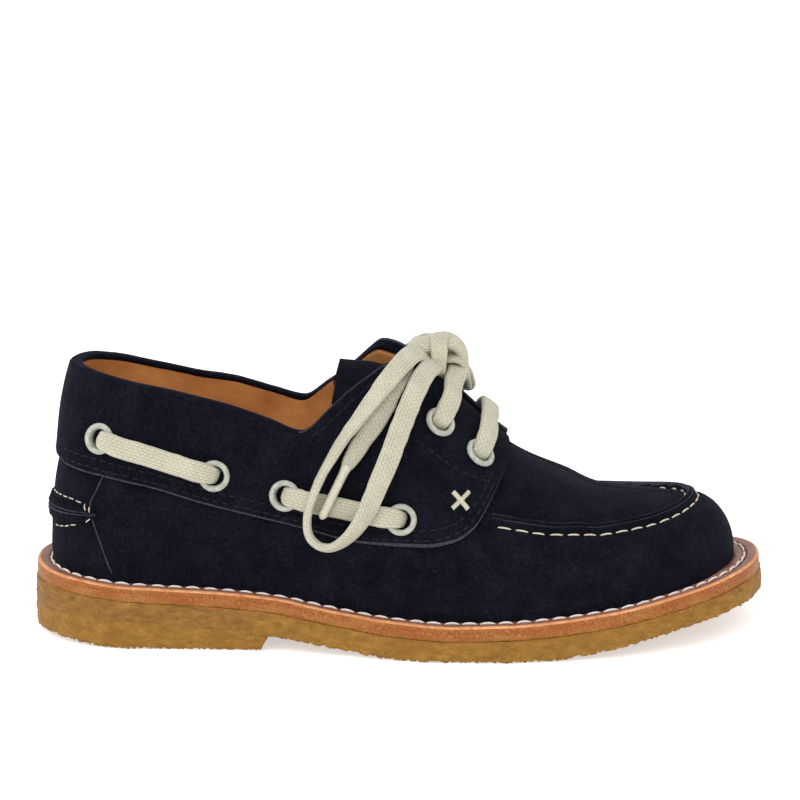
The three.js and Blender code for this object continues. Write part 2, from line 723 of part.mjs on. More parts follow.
// The places of a lace that climbs from a front eyelet.
function climb(eyelet, side, forward) {
  return CLIMB.map(({ up, lift }) => overPanel(eyelet.x + forward * up, eyelet.z + up, side, lift));
}

// The lace across the throat between the two front eyelets.
function crossBar() {
  const front = eyeletNamed('front');
  const [near, far] = [-1, 1].map((side) => climb(front, side, FORWARD.front).map((place) => place.point));
  const over = [-1, 0, 1].map((k) => {
    const y = k * CROSS.half;
    return new THREE.Vector3(CROSS.x, THROAT_MIDDLE + y, CROSS.z - CROSS.drop * y * y);
  });
  const curve = new THREE.CatmullRomCurve3([...near, ...over, ...far.reverse()], false, 'centripetal');
  const line = curve.getPoints(CROSS.steps);
  const outward = line.map(
    (p) => new THREE.Vector3(CROSS.lean, CROSS.turn * (p.y - THROAT_MIDDLE), 1).normalize(),
  );
  const bar = strip(line, outward, LACE.width, LACE.thick);
  return bar.add(stub(front, -1, CLIMB[0].lift)).add(stub(front, 1, CLIMB[0].lift));
}

// The lace from the top eyelet up to the knot.
function riser(side) {
  const top = eyeletNamed('top');
  const places = climb(top, side, FORWARD.top);
  const bar = strip(
    places.map((place) => place.point),
    places.map((place) => place.normal),
    LACE.width,
    LACE.thick,
  );
  return bar.add(stub(top, side, CLIMB[0].lift));
}

function knot() {
  const ball = new THREE.SphereGeometry(0.5, 12, 8).scale(KNOT.length, KNOT.width, KNOT.height);
  return solidOfGeometry(ball.translate(KNOT.x, KNOT.y, KNOT.z));
}

const laceCurve = (rows) =>
  new THREE.CatmullRomCurve3(
    rows.map(({ x, y, z }) => new THREE.Vector3(x, y, z)),
    false,
    'centripetal',
  );

// Where a free lace looks on the medial side, low down and near the knot, and the heights between.
const FACE = {
  low: new THREE.Vector3(0, 1, 0.1),
  high: new THREE.Vector3(0.4, 0.7, 0.8),
  from: 56,
  to: 84,
};
const FREE_STEPS = 1.3; // stations for each row of a free lace

// A free lace along its rows. Its face looks out from the shoe, more upwards near the knot, and is
// turned about the lace by the table.
function freeLace(rows, side) {
  const steps = Math.round(rows.length * FREE_STEPS);
  const curve = laceCurve(rows);
  const at = Array.from({ length: steps + 1 }, (_, i) => i / steps);
  const line = at.map((t) => curve.getPoint(t));
  const normals = at.map((t, i) => {
    const place = Math.min(t * (rows.length - 1), rows.length - 1.001);
    const [from, to] = [rows[Math.floor(place)], rows[Math.floor(place) + 1]];
    const turn = THREE.MathUtils.degToRad(THREE.MathUtils.lerp(from.turn, to.turn, place % 1));
    const lean = THREE.MathUtils.smoothstep(line[i].z, FACE.from, FACE.to);
    const out = FACE.low.clone().lerp(FACE.high, lean);
    out.y *= side;
    out.normalize();
    return out.applyAxisAngle(curve.getTangent(t), -side * turn);
  });
  return strip(line, normals, LACE.width, LACE.thick);
}

function aglet(rows) {
  const [start, end] = laceCurve(rows).points;
  const along = end.clone().sub(start);
  const rod = new THREE.CylinderGeometry(AGLET_RADIUS, AGLET_RADIUS, along.length(), ROUND_SIDES);
  const upright = new THREE.Vector3(0, 1, 0);
  rod.applyQuaternion(new THREE.Quaternion().setFromUnitVectors(upright, along.normalize()));
  const middle = start.clone().add(end).multiplyScalar(0.5);
  return solidOfGeometry(rod.translate(middle.x, middle.y, middle.z));
}

// ---------------------------------------------------------------- the shoe

const material = (color, roughness, metalness = 0) =>
  new THREE.MeshStandardMaterial({ color, roughness, metalness });

const suede = material(0x1b1d2b, 0.95);
const tanLeather = material(0xb5713a, 0.6);
const weltLeather = material(0x8a4a32, 0.5);
const crepe = material(0xb08a45, 0.85);

const enamel = material(0xa9aa9c, 0.5, 0.2);
const cotton = material(0xd8d3bb, 0.95);

const shoe = new THREE.Group();

function add(name, body, finish) {
  const mesh = new THREE.Mesh(geometryOf(body), finish);
  mesh.name = name;
  shoe.add(mesh);
}

add('outsole', outsole(), crepe);
add('heel_lift', heelLift(), crepe);
add('midsole', midsole(), tanLeather);
add('welt', welt(), weltLeather);
add('insole', insole(), tanLeather);
add('upper', upper(), suede);
add('collar_panel', collarPanel(), suede);
add('tongue', tongue(), suede);
add('heel_seam', heelSeam(), suede);
const SIDES = [
  { name: 'lateral', side: -1, loop: LOOP_LATERAL, end: END_LATERAL, tip: AGLET_LATERAL },
  { name: 'medial', side: 1, loop: LOOP_MEDIAL, end: END_MEDIAL, tip: AGLET_MEDIAL },
];
for (const { name, side, loop, end, tip } of SIDES) {
  for (const place of EYELETS) add(`eyelet_${name}_${place.name}`, eyelet(place, side), enamel);
  add(`lace_bar_${name}_rear`, sideBar(eyeletNamed('heel'), eyeletNamed('rear'), side), cotton);
  add(`lace_bar_${name}_waist`, sideBar(eyeletNamed('waist'), eyeletNamed('ball'), side), cotton);
  add(`lace_riser_${name}`, riser(side), cotton);
  add(`lace_loop_${name}`, freeLace(loop, side), cotton);
  add(`lace_end_${name}`, freeLace(end, side), cotton);
  add(`aglet_${name}`, aglet(tip), cotton);
}
add('lace_cross_bar', crossBar(), cotton);
add('lace_knot', knot(), cotton);

export default shoe;
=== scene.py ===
"""A child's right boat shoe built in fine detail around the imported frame: navy suede, a moccasin toe,
flat cotton laces tied in a bow, and a stitched leather welt on a crepe sole.

Sizes are in millimetres until loft() makes a mesh. +X points to the toe and +Y to the medial side.
"""

import math

import bpy
import numpy as np
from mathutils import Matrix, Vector


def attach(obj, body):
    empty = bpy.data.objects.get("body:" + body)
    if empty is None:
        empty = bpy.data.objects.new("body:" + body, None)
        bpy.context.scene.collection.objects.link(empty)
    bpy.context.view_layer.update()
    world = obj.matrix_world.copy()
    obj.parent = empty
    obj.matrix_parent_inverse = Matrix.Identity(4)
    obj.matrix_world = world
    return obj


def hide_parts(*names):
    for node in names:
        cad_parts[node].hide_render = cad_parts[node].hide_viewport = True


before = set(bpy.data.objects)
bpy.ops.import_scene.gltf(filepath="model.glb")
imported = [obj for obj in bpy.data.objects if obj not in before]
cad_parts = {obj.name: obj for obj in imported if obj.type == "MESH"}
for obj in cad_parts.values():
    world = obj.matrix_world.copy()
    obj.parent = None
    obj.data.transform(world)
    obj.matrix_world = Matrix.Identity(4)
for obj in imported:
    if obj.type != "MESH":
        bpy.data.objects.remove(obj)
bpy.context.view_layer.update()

MM = 0.001
LATERAL, MEDIAL = -1, 1
SIDES = (("lateral", LATERAL), ("medial", MEDIAL))


# ---------------------------------------------------------------- camera, light and floor


def placed(name, data):
    """A new object in the scene for that mesh, camera or light."""
    obj = bpy.data.objects.new(name, data)
    bpy.context.scene.collection.objects.link(obj)
    return obj


def add_camera():
    """The camera of the picture: nearly level, straight at the lateral side."""
    elevation = math.radians(11.6)
    distance = 1000
    target = Vector((0, 1.2, 66.6))
    offset = Vector((0, -math.cos(elevation), math.sin(elevation))) * distance
    data = bpy.data.cameras.new("camera")
    data.lens = 153.675
    data.sensor_width = 36
    data.clip_end = 100
    camera = placed("camera", data)
    camera.location = (target + offset) * MM
    camera.rotation_euler = (-offset).to_track_quat("-Z", "Y").to_euler()
    bpy.context.scene.camera = camera


def add_soft_light(name, toward, strength, spread):
    """Even light from one direction, as wide as a studio's soft box."""
    data = bpy.data.lights.new(name, "SUN")
    data.energy = strength
    data.angle = math.radians(spread)
    light = placed(name, data)
    light.location = Vector(toward)
    light.rotation_euler = (-Vector(toward)).to_track_quat("-Z", "Y").to_euler()


def add_lights():
    """A broad soft light from above and in front, weaker ones from the ends, and a white surround."""
    add_soft_light("key", (-0.30, -0.62, 0.95), 1.45, 90)
    add_soft_light("front", (0.10, -1.0, 0.40), 0.55, 80)
    add_soft_light("heel_side", (-1.0, 0.15, 0.7), 0.4, 60)
    add_soft_light("toe_side", (1.0, 0.2, 0.8), 0.4, 60)
    world = bpy.data.worlds.new("studio")
    world.use_nodes = True
    background = world.node_tree.nodes["Background"]
    background.inputs["Color"].default_value = (1, 1, 1, 1)
    background.inputs["Strength"].default_value = 0.70
    bpy.context.scene.world = world
    bpy.context.scene.view_settings.view_transform = "Standard"


add_camera()


# ---------------------------------------------------------------- tables and curves


def table(columns, *rows):
    """The columns of a table of numbers, by name."""
    return {name: np.array(values, float) for name, values in zip(columns.split(), zip(*rows))}


def curve(rows, column):
    """A smooth curve through one column of a table that never overshoots its rows."""
    xs, ys = rows["x"], rows[column]
    slope = np.diff(ys) / np.diff(xs)
    before = np.concatenate([slope[:1], slope])
    after = np.concatenate([slope, slope[-1:]])
    flat = before * after <= 0
    tangent = np.where(flat, 0, 2 * before * after / np.where(flat, 1, before + after))

    def at(x):
        x = np.clip(x, xs[0], xs[-1])
        i = np.clip(np.searchsorted(xs, x) - 1, 0, len(xs) - 2)
        span = xs[i + 1] - xs[i]
        u = (x - xs[i]) / span
        start = ys[i] * (1 + 2 * u) * (1 - u) ** 2 + tangent[i] * span * u * (1 - u) ** 2
        end = ys[i + 1] * u * u * (3 - 2 * u) - tangent[i + 1] * span * u * u * (1 - u)
        return start + end

    return at


def smooth(low, high, x):
    """0 up to low, 1 from high on, and a soft step between."""
    u = np.clip((x - low) / (high - low), 0, 1)
    return u * u * (3 - 2 * u)


def unit(vectors):
    """The vectors at length 1."""
    return vectors / np.maximum(np.linalg.norm(vectors, axis=-1, keepdims=True), 1e-9)


def noise(points, size, seed=0):
    """Smooth noise from -1 to 1 with lumps of that size, from a hashed lattice."""
    p = np.asarray(points, float) / size + 1000
    cell = np.floor(p).astype(np.int64)
    f = p - cell
    f = f * f * (3 - 2 * f)
    seed_part = (seed * 2654435761) & 0x7FFFFFFF
    total = np.zeros(p.shape[:-1])
    for corner in range(8):
        step = np.array([corner & 1, corner >> 1 & 1, corner >> 2 & 1])
        c = cell + step
        h = (c[..., 0] * 73856093) ^ (c[..., 1] * 19349663) ^ (c[..., 2] * 83492791) ^ seed_part
        h = (h ^ (h >> 13)) * 1274126177 & 0x7FFFFFFF
        h = (h ^ (h >> 16)) & 0xFFFF
        weight = np.prod(np.where(step, f, 1 - f), axis=-1)
        total += weight * (h / 32767.5 - 1)
    return total


def rough(points, size, octaves, seed=0):
    """Noise with finer and weaker lumps added."""
    return sum(noise(points, size / 2**k, seed + k) / 2**k for k in range(octaves))


# ---------------------------------------------------------------- the forms of the shoe

HEEL_X, TOE_X, GAP = -106.9, 106.5, 0.3
WELT_THICK, MIDSOLE_THICK, WALL, PANEL_THICK = 1.5, 2.4, 2.0, 1.3
# How far each outline stands in from the edge of the leather, at the heel, the sides and the toe.
FEATHER = (5.6, 5.8, 7.2)
SQUARENESS, ROUND_HEEL, ROUND_TOE = 2.15, 33, 48
SOLE = table(
    "x lateral medial middle top under",
    (-107, 30.2, 35.2, 2.7, 20.4, 9.0),
    (-90, 30.2, 35.2, 2.7, 19.0, 8.6),
    (-72, 30.2, 35.2, 2.7, 17.8, 7.8),
    (-56, 30.6, 34.2, 2.6, 17.0, 6.4),
    (-37, 32.2, 32.8, 2.0, 15.5, 4.0),
    (-20, 37.0, 32.6, 1.2, 13.2, 2.2),
    (0, 42.6, 34.8, 1.2, 11.0, 0.0),
    (15, 45.0, 38.0, 1.2, 10.4, 0.0),
    (30, 45.2, 41.6, 1.2, 10.7, 0.0),
    (44, 43.6, 44.2, 2.2, 11.5, 0.3),
    (58, 40.8, 45.2, 3.7, 12.9, 2.0),
    (82, 35.2, 44.0, 6.2, 16.5, 6.4),
    (107, 31.8, 43.2, 7.7, 20.9, 10.2),
)
LAST = table(
    "x ridge middle square swell",
    (-107, 93.0, 2.7, 2.5, 0.6),
    (-60, 94.0, 2.7, 2.4, 0.8),
    (-28, 93.6, 2.0, 2.1, 0.8),
    (-10, 93.4, 1.7, 2.0, 0.8),
    (-2, 88.6, 1.7, 2.0, 0.8),
    (11, 76.5, 1.7, 2.0, 1.0),
    (20, 66.6, 1.7, 2.0, 1.1),
    (28, 58.4, 2.2, 2.1, 1.2),
    (37, 52.2, 2.6, 2.2, 1.2),
    (50, 46.2, 3.4, 2.4, 1.2),
    (60, 41.4, 4.2, 2.5, 1.0),
    (80, 39.8, 6.2, 2.5, 0.6),
    (107, 39.8, 7.7, 2.3, 0.2),
)
TOE_FROM, TOE_PULL, HEEL_FROM, HEEL_PULL = 40, 19, -50, 22
HEEL_CURVE = table(
    "x out", (18, -0.4), (24, 0.6), (33, 1.0), (44, 0.2), (54, -0.9), (66, -0.5), (80, -0.2)
)
TOPLINE = table(
    "x lateral medial",
    (-130, 79.4, 79.4), (-94, 79.4, 79.4), (-86, 78.2, 77.9), (-76, 76.1, 75.3), (-67, 74.1, 73.1),
    (-59, 71.9, 71.0), (-46, 68.2, 67.4), (-37, 65.2, 64.8), (-28.6, 62.4, 62.6), (-20, 69.2, 69.6),
    (-14.8, 73.9, 73.9), (-8.4, 78.4, 80.2), (-5, 80.4, 83.6), (-1.5, 81.2, 84.4), (8, 81.2, 84.4),
)
THROAT = table(
    "x panel vamp",
    (-40, 18.0, 18.0), (-2, 12.4, 12.6), (11, 10.2, 10.4), (20, 8.2, 8.4), (26, 6.0, 5.6),
    (28.5, 4.8, 3.0), (30, 4.6, 0.4), (33, 7.0, 0),
)
# The lower edge of the collar panel, and how it comes back over its round front corner.
PANEL_LOW = table(
    "x z",
    (-130, 52.0), (-100.5, 52.0), (-97, 50.8), (-84.6, 49.0), (-71.6, 46.3), (-59, 42.5), (-45.4, 39.1),
    (-28, 35.5), (-10.7, 32.3), (6.8, 32.1), (15.2, 33.6), (21, 37.1), (24, 41.1), (27, 46.0),
    (30.1, 51.1), (31.6, 53.6), (32.1, 54.8),
)
PANEL_FRONT = table("x z", (28, 62.0), (30.8, 58.5), (31.8, 56.6), (32.1, 54.9))
PANEL_TIP_X = 32.05
# The apron seam: how far up the last it runs, by the turn from the toe in degrees.
APRON = table(
    "x rise",
    (0, 0.835), (12, 0.82), (23, 0.765), (30, 0.70), (36, 0.64), (42, 0.585), (48, 0.545), (52, 0.52),
    (57.5, 0.466), (62.3, 0.436), (66.3, 0.424), (70.2, 0.412), (75.3, 0.385), (82, 0.36),
)
EYELETS = {
    "heel": (-86.1, 59.9),
    "rear": (-53.2, 49.9),
    "waist": (-32.9, 44.6),
    "ball": (0.3, 39.7),
    "top": (11.4, 65.0),
    "front": (22.9, 55.8),
}

sole_lateral, sole_medial, sole_middle, welt_top, crepe_under = (
    curve(SOLE, name) for name in ("lateral", "medial", "middle", "top", "under")
)
ridge_z, last_middle, last_square, last_swell = (
    curve(LAST, name) for name in ("ridge", "middle", "square", "swell")
)
heel_out = curve(HEEL_CURVE, "out")
apron_rise = curve(APRON, "rise")
panel_low, panel_front = curve(PANEL_LOW, "z"), curve(PANEL_FRONT, "z")


def round_end(distance, reach):
    """How wide the outline is near one of its ends, from 0 at the tip to 1 past the reach."""
    u = np.clip(distance / reach, 0, 1)
    return (1 - (1 - u) ** SQUARENESS) ** (1 / SQUARENESS)


def outline(angle, inset):
    """Points of the outline, angle 0 at the toe and pi at the heel, negative on the lateral side."""
    at_heel, at_side, at_toe = inset
    heel = HEEL_X + at_heel
    toe = TOE_X - at_toe
    x = (heel + toe) / 2 + (toe - heel) / 2 * np.cos(angle)
    taper = round_end(x - heel, ROUND_HEEL - at_side) * round_end(toe - x, ROUND_TOE - at_side)
    side = np.where(angle < 0, -1, 1)
    half = np.where(angle < 0, sole_lateral(x), sole_medial(x)) - at_side
    middle = sole_middle(x)
    return x, middle + taper * (side * half - middle)


def last_point(angle, rise, offset):
    """Points of the last grown by offset; rise goes from 0 at the feather line to 1 at the ridge."""
    angle, rise, offset = np.broadcast_arrays(angle, rise, offset)
    x, y = outline(angle, tuple(f - offset for f in FEATHER))
    toe_turn = np.maximum(0, (x - TOE_FROM) / (TOE_X - FEATHER[2] - TOE_FROM))
    heel_turn = np.maximum(0, (HEEL_FROM - x) / (HEEL_FROM - HEEL_X - FEATHER[0]))
    ridge_x = x - TOE_PULL * toe_turn**3 + HEEL_PULL * heel_turn**2
    power = 2 / last_square(x)
    across = np.maximum(0, np.cos(rise * np.pi / 2)) ** power
    up = np.maximum(0, np.sin(rise * np.pi / 2)) ** power
    reach = across * (1 + last_swell(x) * np.sin(np.pi * np.minimum(1, up / 0.8)) / 30)
    bottom = welt_top(x) + GAP
    z = bottom + (ridge_z(ridge_x) + offset - bottom) * up
    middle = last_middle(ridge_x)
    bent = ridge_x + (x - ridge_x) * reach - heel_out(z) * heel_turn**2
    return np.stack([bent, middle + (y - middle) * reach, z], -1)


def last_normal(angle, rise, offset):
    """The direction that the surface of the last faces."""
    step = 1e-3
    low, high = np.clip(rise - step, 0.001, 0.996), np.clip(rise + step, 0.004, 0.999)
    mid = np.clip(rise, 0.0025, 0.9975)
    along = last_point(angle + step, mid, offset) - last_point(angle - step, mid, offset)
    up = last_point(angle, high, offset) - last_point(angle, low, offset)
    return unit(np.cross(along, up))


def last_at(x, z, side, offset):
    """The angle and rise of the points of the last at x and z on one side."""
    x, z, side = (np.asarray(v, float) for v in np.broadcast_arrays(x, z, side))
    turn = np.arccos(np.clip((x + 0.2) / 103, -0.999, 0.999))
    rise = np.full(x.shape, 0.3)
    step = 1e-4
    for _ in range(30):
        here = last_point(side * turn, rise, offset)
        du = (last_point(side * (turn + step), rise, offset) - here) / step
        dv = (last_point(side * turn, rise + step, offset) - here) / step
        off_x, off_z = x - here[..., 0], z - here[..., 2]
        det = du[..., 0] * dv[..., 2] - du[..., 2] * dv[..., 0]
        det = np.where(np.abs(det) < 1e-6, 1e-6, det)
        turn = turn + np.clip((off_x * dv[..., 2] - off_z * dv[..., 0]) / det, -0.2, 0.2)
        rise = rise + np.clip((du[..., 0] * off_z - du[..., 2] * off_x) / det, -0.15, 0.15)
        turn = np.clip(turn, 0.001, np.pi - 0.001)
        rise = np.clip(rise, 0.001, 0.999)
    return side * turn, rise


def rise_where(angle, low, high, inside, offset):
    """The rise where a test first turns true along each line of constant angle."""
    low, high = np.full(angle.shape, low), np.full(angle.shape, high)
    for _ in range(34):
        mid = (low + high) / 2
        hit = inside(last_point(angle, mid, offset), angle)
        high = np.where(hit, mid, high)
        low = np.where(hit, low, mid)
    return (low + high) / 2


# ---------------------------------------------------------------- soft relief of the upper

# The apron seam shows from this x forward; behind it the collar panel covers the line.
SEAM_FROM_X = 25.5


def apron_distance(angle, rise):
    """Millimetres from the apron seam along the last, positive below and outside it."""
    turn = np.degrees(np.abs(angle))
    step = 1e-3
    here = last_point(angle, rise, 0.0)
    along = (last_point(angle + step, rise, 0.0) - here) / step
    up = (last_point(angle, np.clip(rise + step, 0, 0.9995), 0.0) - here) / step
    slope = (apron_rise(turn + 0.5) - apron_rise(turn - 0.5)) / np.radians(1) * np.sign(angle)
    tangent = along + up * slope[..., None]
    crossing = up - tangent * (np.sum(up * tangent, -1) / np.sum(tangent**2, -1))[..., None]
    return (apron_rise(turn) - rise) * np.linalg.norm(crossing, axis=-1)


APRON_RELIEF = table(
    "x out",
    (-30, -1.5), (-9, -2.0), (-3.4, -2.2), (-1.9, -2.1), (-1.35, -1.0), (-1.15, 0.0), (-0.75, 0.3),
    (-0.3, 0.15), (0.0, -0.35), (0.3, 0.1), (0.8, 0.25), (1.2, -0.1), (1.55, -0.8), (2.1, -1.15),
    (3.0, -0.9), (5.0, -0.3), (8.5, 0.0),
)
apron_relief = curve(APRON_RELIEF, "out")

# Soft troughs (below 0) and ridges (above 0): middle x and z, half length and half width, the lean of
# the long axis in degrees, height, and the side.
CREASES = [
    (40, 33, 15, 3.0, 35, -0.55, LATERAL),
    (37, 28, 13, 3.0, 40, 0.35, LATERAL),
    (58, 27, 16, 3.5, 12, -0.35, LATERAL),
    (-20, 27, 22, 3.0, -8, -0.45, LATERAL),
    (-62, 31, 20, 4.0, -10, 0.4, LATERAL),
    (-70, 38, 18, 3.0, -14, -0.35, LATERAL),
    (8, 26, 20, 3.0, 4, -0.3, LATERAL),
    (38, 33, 15, 3.2, 35, -0.5, MEDIAL),
    (-22, 27, 22, 3.2, -8, -0.5, MEDIAL),
    (-60, 32, 18, 4.0, -8, -0.4, MEDIAL),
    (56, 27, 14, 3.5, 12, -0.35, MEDIAL),
    (94, 33, 16, 10, -60, -0.9, LATERAL),
    (94, 33, 16, 10, -60, -0.9, MEDIAL),
]
PANEL_CREASES = [
    (-25, 51, 15, 2.6, 68, -0.7, LATERAL),
    (-20, 50, 13, 2.6, 64, 0.4, LATERAL),
    (-44, 55, 15, 2.8, -30, -0.4, LATERAL),
    (-70, 64, 18, 3.2, -12, -0.45, LATERAL),
    (-72, 55, 14, 2.6, -18, 0.35, LATERAL),
    (14, 47, 13, 2.6, 58, -0.5, LATERAL),
    (2, 60, 12, 2.8, 40, -0.4, LATERAL),
    (-95, 66, 10, 3.0, 80, -0.35, LATERAL),
    (-24, 51, 15, 2.8, 66, -0.7, MEDIAL),
    (-46, 55, 14, 3.0, -30, -0.4, MEDIAL),
    (-70, 63, 18, 3.2, -12, -0.5, MEDIAL),
    (13, 48, 12, 2.8, 58, -0.5, MEDIAL),
]


def creases(points, angle, rows):
    """The height of all the troughs and ridges of a table at those points."""
    total = np.zeros(points.shape[:-1])
    for x, z, length, width, lean, height, side in rows:
        c, s = math.cos(math.radians(lean)), math.sin(math.radians(lean))
        dx, dz = points[..., 0] - x, points[..., 2] - z
        along = (dx * c + dz * s) / length
        across = (-dx * s + dz * c) / width
        shape = np.exp(-(along**2) * 1.6 - across**2 * 1.2)
        total += np.where(np.sign(angle) == side, height, 0) * shape
    return total


def vamp_out(angle, rise):
    """How far the suede of the vamp and quarters stands off the last, and its points there."""
    base = last_point(angle, rise, 0.0)
    near_seam = apron_relief(apron_distance(angle, rise))
    seam = near_seam * smooth(20, 27, base[..., 0])
    soft = 0.22 * rough(base, 26, 2, 3) * smooth(0.0, 0.12, rise)
    flare = 0.9 * smooth(0.06, 0.0, rise) * smooth(96, 84, base[..., 0])
    return base, seam + soft + flare + creases(base, angle, CREASES)


def vamp_surface(angle, rise, lift=0.0):
    """Points and normals of the vamp and quarters, with the lift added."""
    angle, rise = np.broadcast_arrays(np.asarray(angle, float), np.asarray(rise, float))
    base, out = vamp_out(angle, rise)
    normal = last_normal(angle, rise, 0.0)
    return base + normal * (out + lift)[..., None], normal


def eyelet_frames():
    """The middle of each eyelet on the panel and the way it looks, by name and side."""
    offset = GAP + PANEL_THICK
    x, z = np.array(list(EYELETS.values())).T
    frames = {}
    for side in (LATERAL, MEDIAL):
        angle, rise = last_at(x, z, side, offset)
        points, normals = last_point(angle, rise, offset), last_normal(angle, rise, offset)
        for name, point, normal in zip(EYELETS, points, normals):
            frames[name, side] = (point, normal)
    return frames


FRAMES = eyelet_frames()


def panel_out(angle, rise):
    """How far the panel stands off its smooth form: creases, and a dip and a rise round each eyelet."""
    base = last_point(angle, rise, GAP + PANEL_THICK)
    soft = 0.25 * rough(base, 20, 2, 11) + creases(base, angle, PANEL_CREASES)
    side = np.sign(angle)[..., None]
    for name in EYELETS:
        middle = np.where(side < 0, FRAMES[name, LATERAL][0], FRAMES[name, MEDIAL][0])
        away = np.linalg.norm(base - middle, axis=-1)
        soft -= 0.55 * np.exp(-((away / 6.0) ** 2)) - 0.28 * np.exp(-(((away - 8.0) / 2.4) ** 2))
    return base, soft


def panel_surface(angle, rise, lift=0.0):
    """Points and normals of the panel, with the lift added."""
    angle, rise = np.broadcast_arrays(np.asarray(angle, float), np.asarray(rise, float))
    base, out = panel_out(angle, rise)
    normal = last_normal(angle, rise, GAP + PANEL_THICK)
    return base + normal * (out + lift)[..., None], normal


def on_panel(x, z, side, lift=0.0):
    """The point and normal of the panel at x and z."""
    angle, rise = last_at(x, z, side, GAP + PANEL_THICK)
    return panel_surface(angle, rise, lift)


def on_vamp(x, z, side, lift=0.0):
    """The point and normal of the vamp and quarters at x and z."""
    angle, rise = last_at(x, z, side, 0.0)
    return vamp_surface(angle, rise, lift)


# ---------------------------------------------------------------- meshes


def loft(name, points, materials, wrap_u=False, wrap_v=True, caps=False, bands=None, uv=None, skip=None):
    """A mesh through rings of points (rings, points per ring, 3) in millimetres.

    wrap_u joins the last ring to the first and wrap_v closes each ring. bands gives each quad its
    material, skip the quads left out, and uv the pattern: its length, and its place round each ring.
    """
    n, m = points.shape[:2]
    rows, cols = (n if wrap_u else n - 1), (m if wrap_v else m - 1)
    i, j = np.meshgrid(np.arange(rows), np.arange(cols), indexing="ij")
    i2, j2 = (i + 1) % n, (j + 1) % m
    quads = np.stack([i * m + j, i * m + j2, i2 * m + j2, i2 * m + j], -1).reshape(-1, 4)
    band = np.zeros(quads.shape[0], int) if bands is None else np.broadcast_to(bands, i.shape).ravel()
    square = ((0, 0), (0, 1), (1, 1), (1, 0))
    corners = np.stack([np.stack([i + di, j + dj], -1) for di, dj in square], 2).reshape(-1, 4, 2)
    if skip is not None:
        kept = ~skip.ravel()
        quads, band, corners = quads[kept], band[kept], corners[kept]
    p = points.reshape(-1, 3)
    middle = p.mean(0)
    a, b, c, d = (p[quads[:, k]] - middle for k in range(4))
    volume = np.sum(a * np.cross(b, c)) + np.sum(a * np.cross(c, d))
    if volume < 0:
        quads, corners = quads[:, ::-1], corners[:, ::-1]
    faces = quads.tolist()
    if caps:
        ends = [list(range(m)), list(range((n - 1) * m, n * m))]
        faces += [ends[0][::-1], ends[1]] if volume >= 0 else [ends[0], ends[1][::-1]]
        band = np.concatenate([band, [band[0], band[-1]]])
    mesh = bpy.data.meshes.new(name)
    mesh.from_pydata((p * MM).tolist(), [], faces)
    for material in materials:
        mesh.materials.append(material)
    mesh.polygons.foreach_set("material_index", band.astype(np.int32))
    mesh.polygons.foreach_set("use_smooth", np.ones(len(mesh.polygons), bool))
    if uv is not None:
        layer = mesh.uv_layers.new(name="lay")
        flat = np.zeros((len(mesh.loops), 2), np.float32)
        flat[: corners.shape[0] * 4, 0] = uv[1][corners[..., 1].ravel()]
        flat[: corners.shape[0] * 4, 1] = corners[..., 0].ravel() * uv[0] / n
        layer.data.foreach_set("uv", flat.ravel())
    mesh.update()
    return placed(name, mesh)


def join(name, pieces):
    """One object from several that use the same list of materials."""
    bpy.ops.object.select_all(action="DESELECT")
    for piece in pieces:
        piece.select_set(True)
    bpy.context.view_layer.objects.active = pieces[0]
    bpy.ops.object.join()
    pieces[0].name = name
    pieces[0].data.name = name
    return pieces[0]


def spline(rows, step):
    """Points at even steps along a smooth curve through the rows (any number of columns, xyz first)."""
    rows = np.asarray(rows, float)
    chord = np.maximum(np.linalg.norm(np.diff(rows[:, :3], axis=0), axis=1), 1e-6) ** 0.5
    knots = np.concatenate([[0], np.cumsum(chord)])
    inner = (rows[2:] - rows[:-2]) / (knots[2:] - knots[:-2])[:, None]
    first = (rows[1] - rows[0]) / chord[0]
    last = (rows[-1] - rows[-2]) / chord[-1]
    tangent = np.concatenate([[first], inner, [last]])
    t = np.linspace(0, knots[-1], 60 * len(rows))
    k = np.clip(np.searchsorted(knots, t) - 1, 0, len(rows) - 2)
    span = (knots[k + 1] - knots[k])[:, None]
    u = (t - knots[k])[:, None] / span
    fine = (
        rows[k] * (1 + 2 * u) * (1 - u) ** 2
        + tangent[k] * span * u * (1 - u) ** 2
        + rows[k + 1] * u * u * (3 - 2 * u)
        - tangent[k + 1] * span * u * u * (1 - u)
    )
    gone = np.concatenate([[0], np.cumsum(np.linalg.norm(np.diff(fine[:, :3], axis=0), axis=1))])
    at = np.linspace(0, gone[-1], max(3, int(round(gone[-1] / step)) + 1))
    return np.stack([np.interp(at, gone, fine[:, c]) for c in range(rows.shape[1])], -1)


# ---------------------------------------------------------------- materials


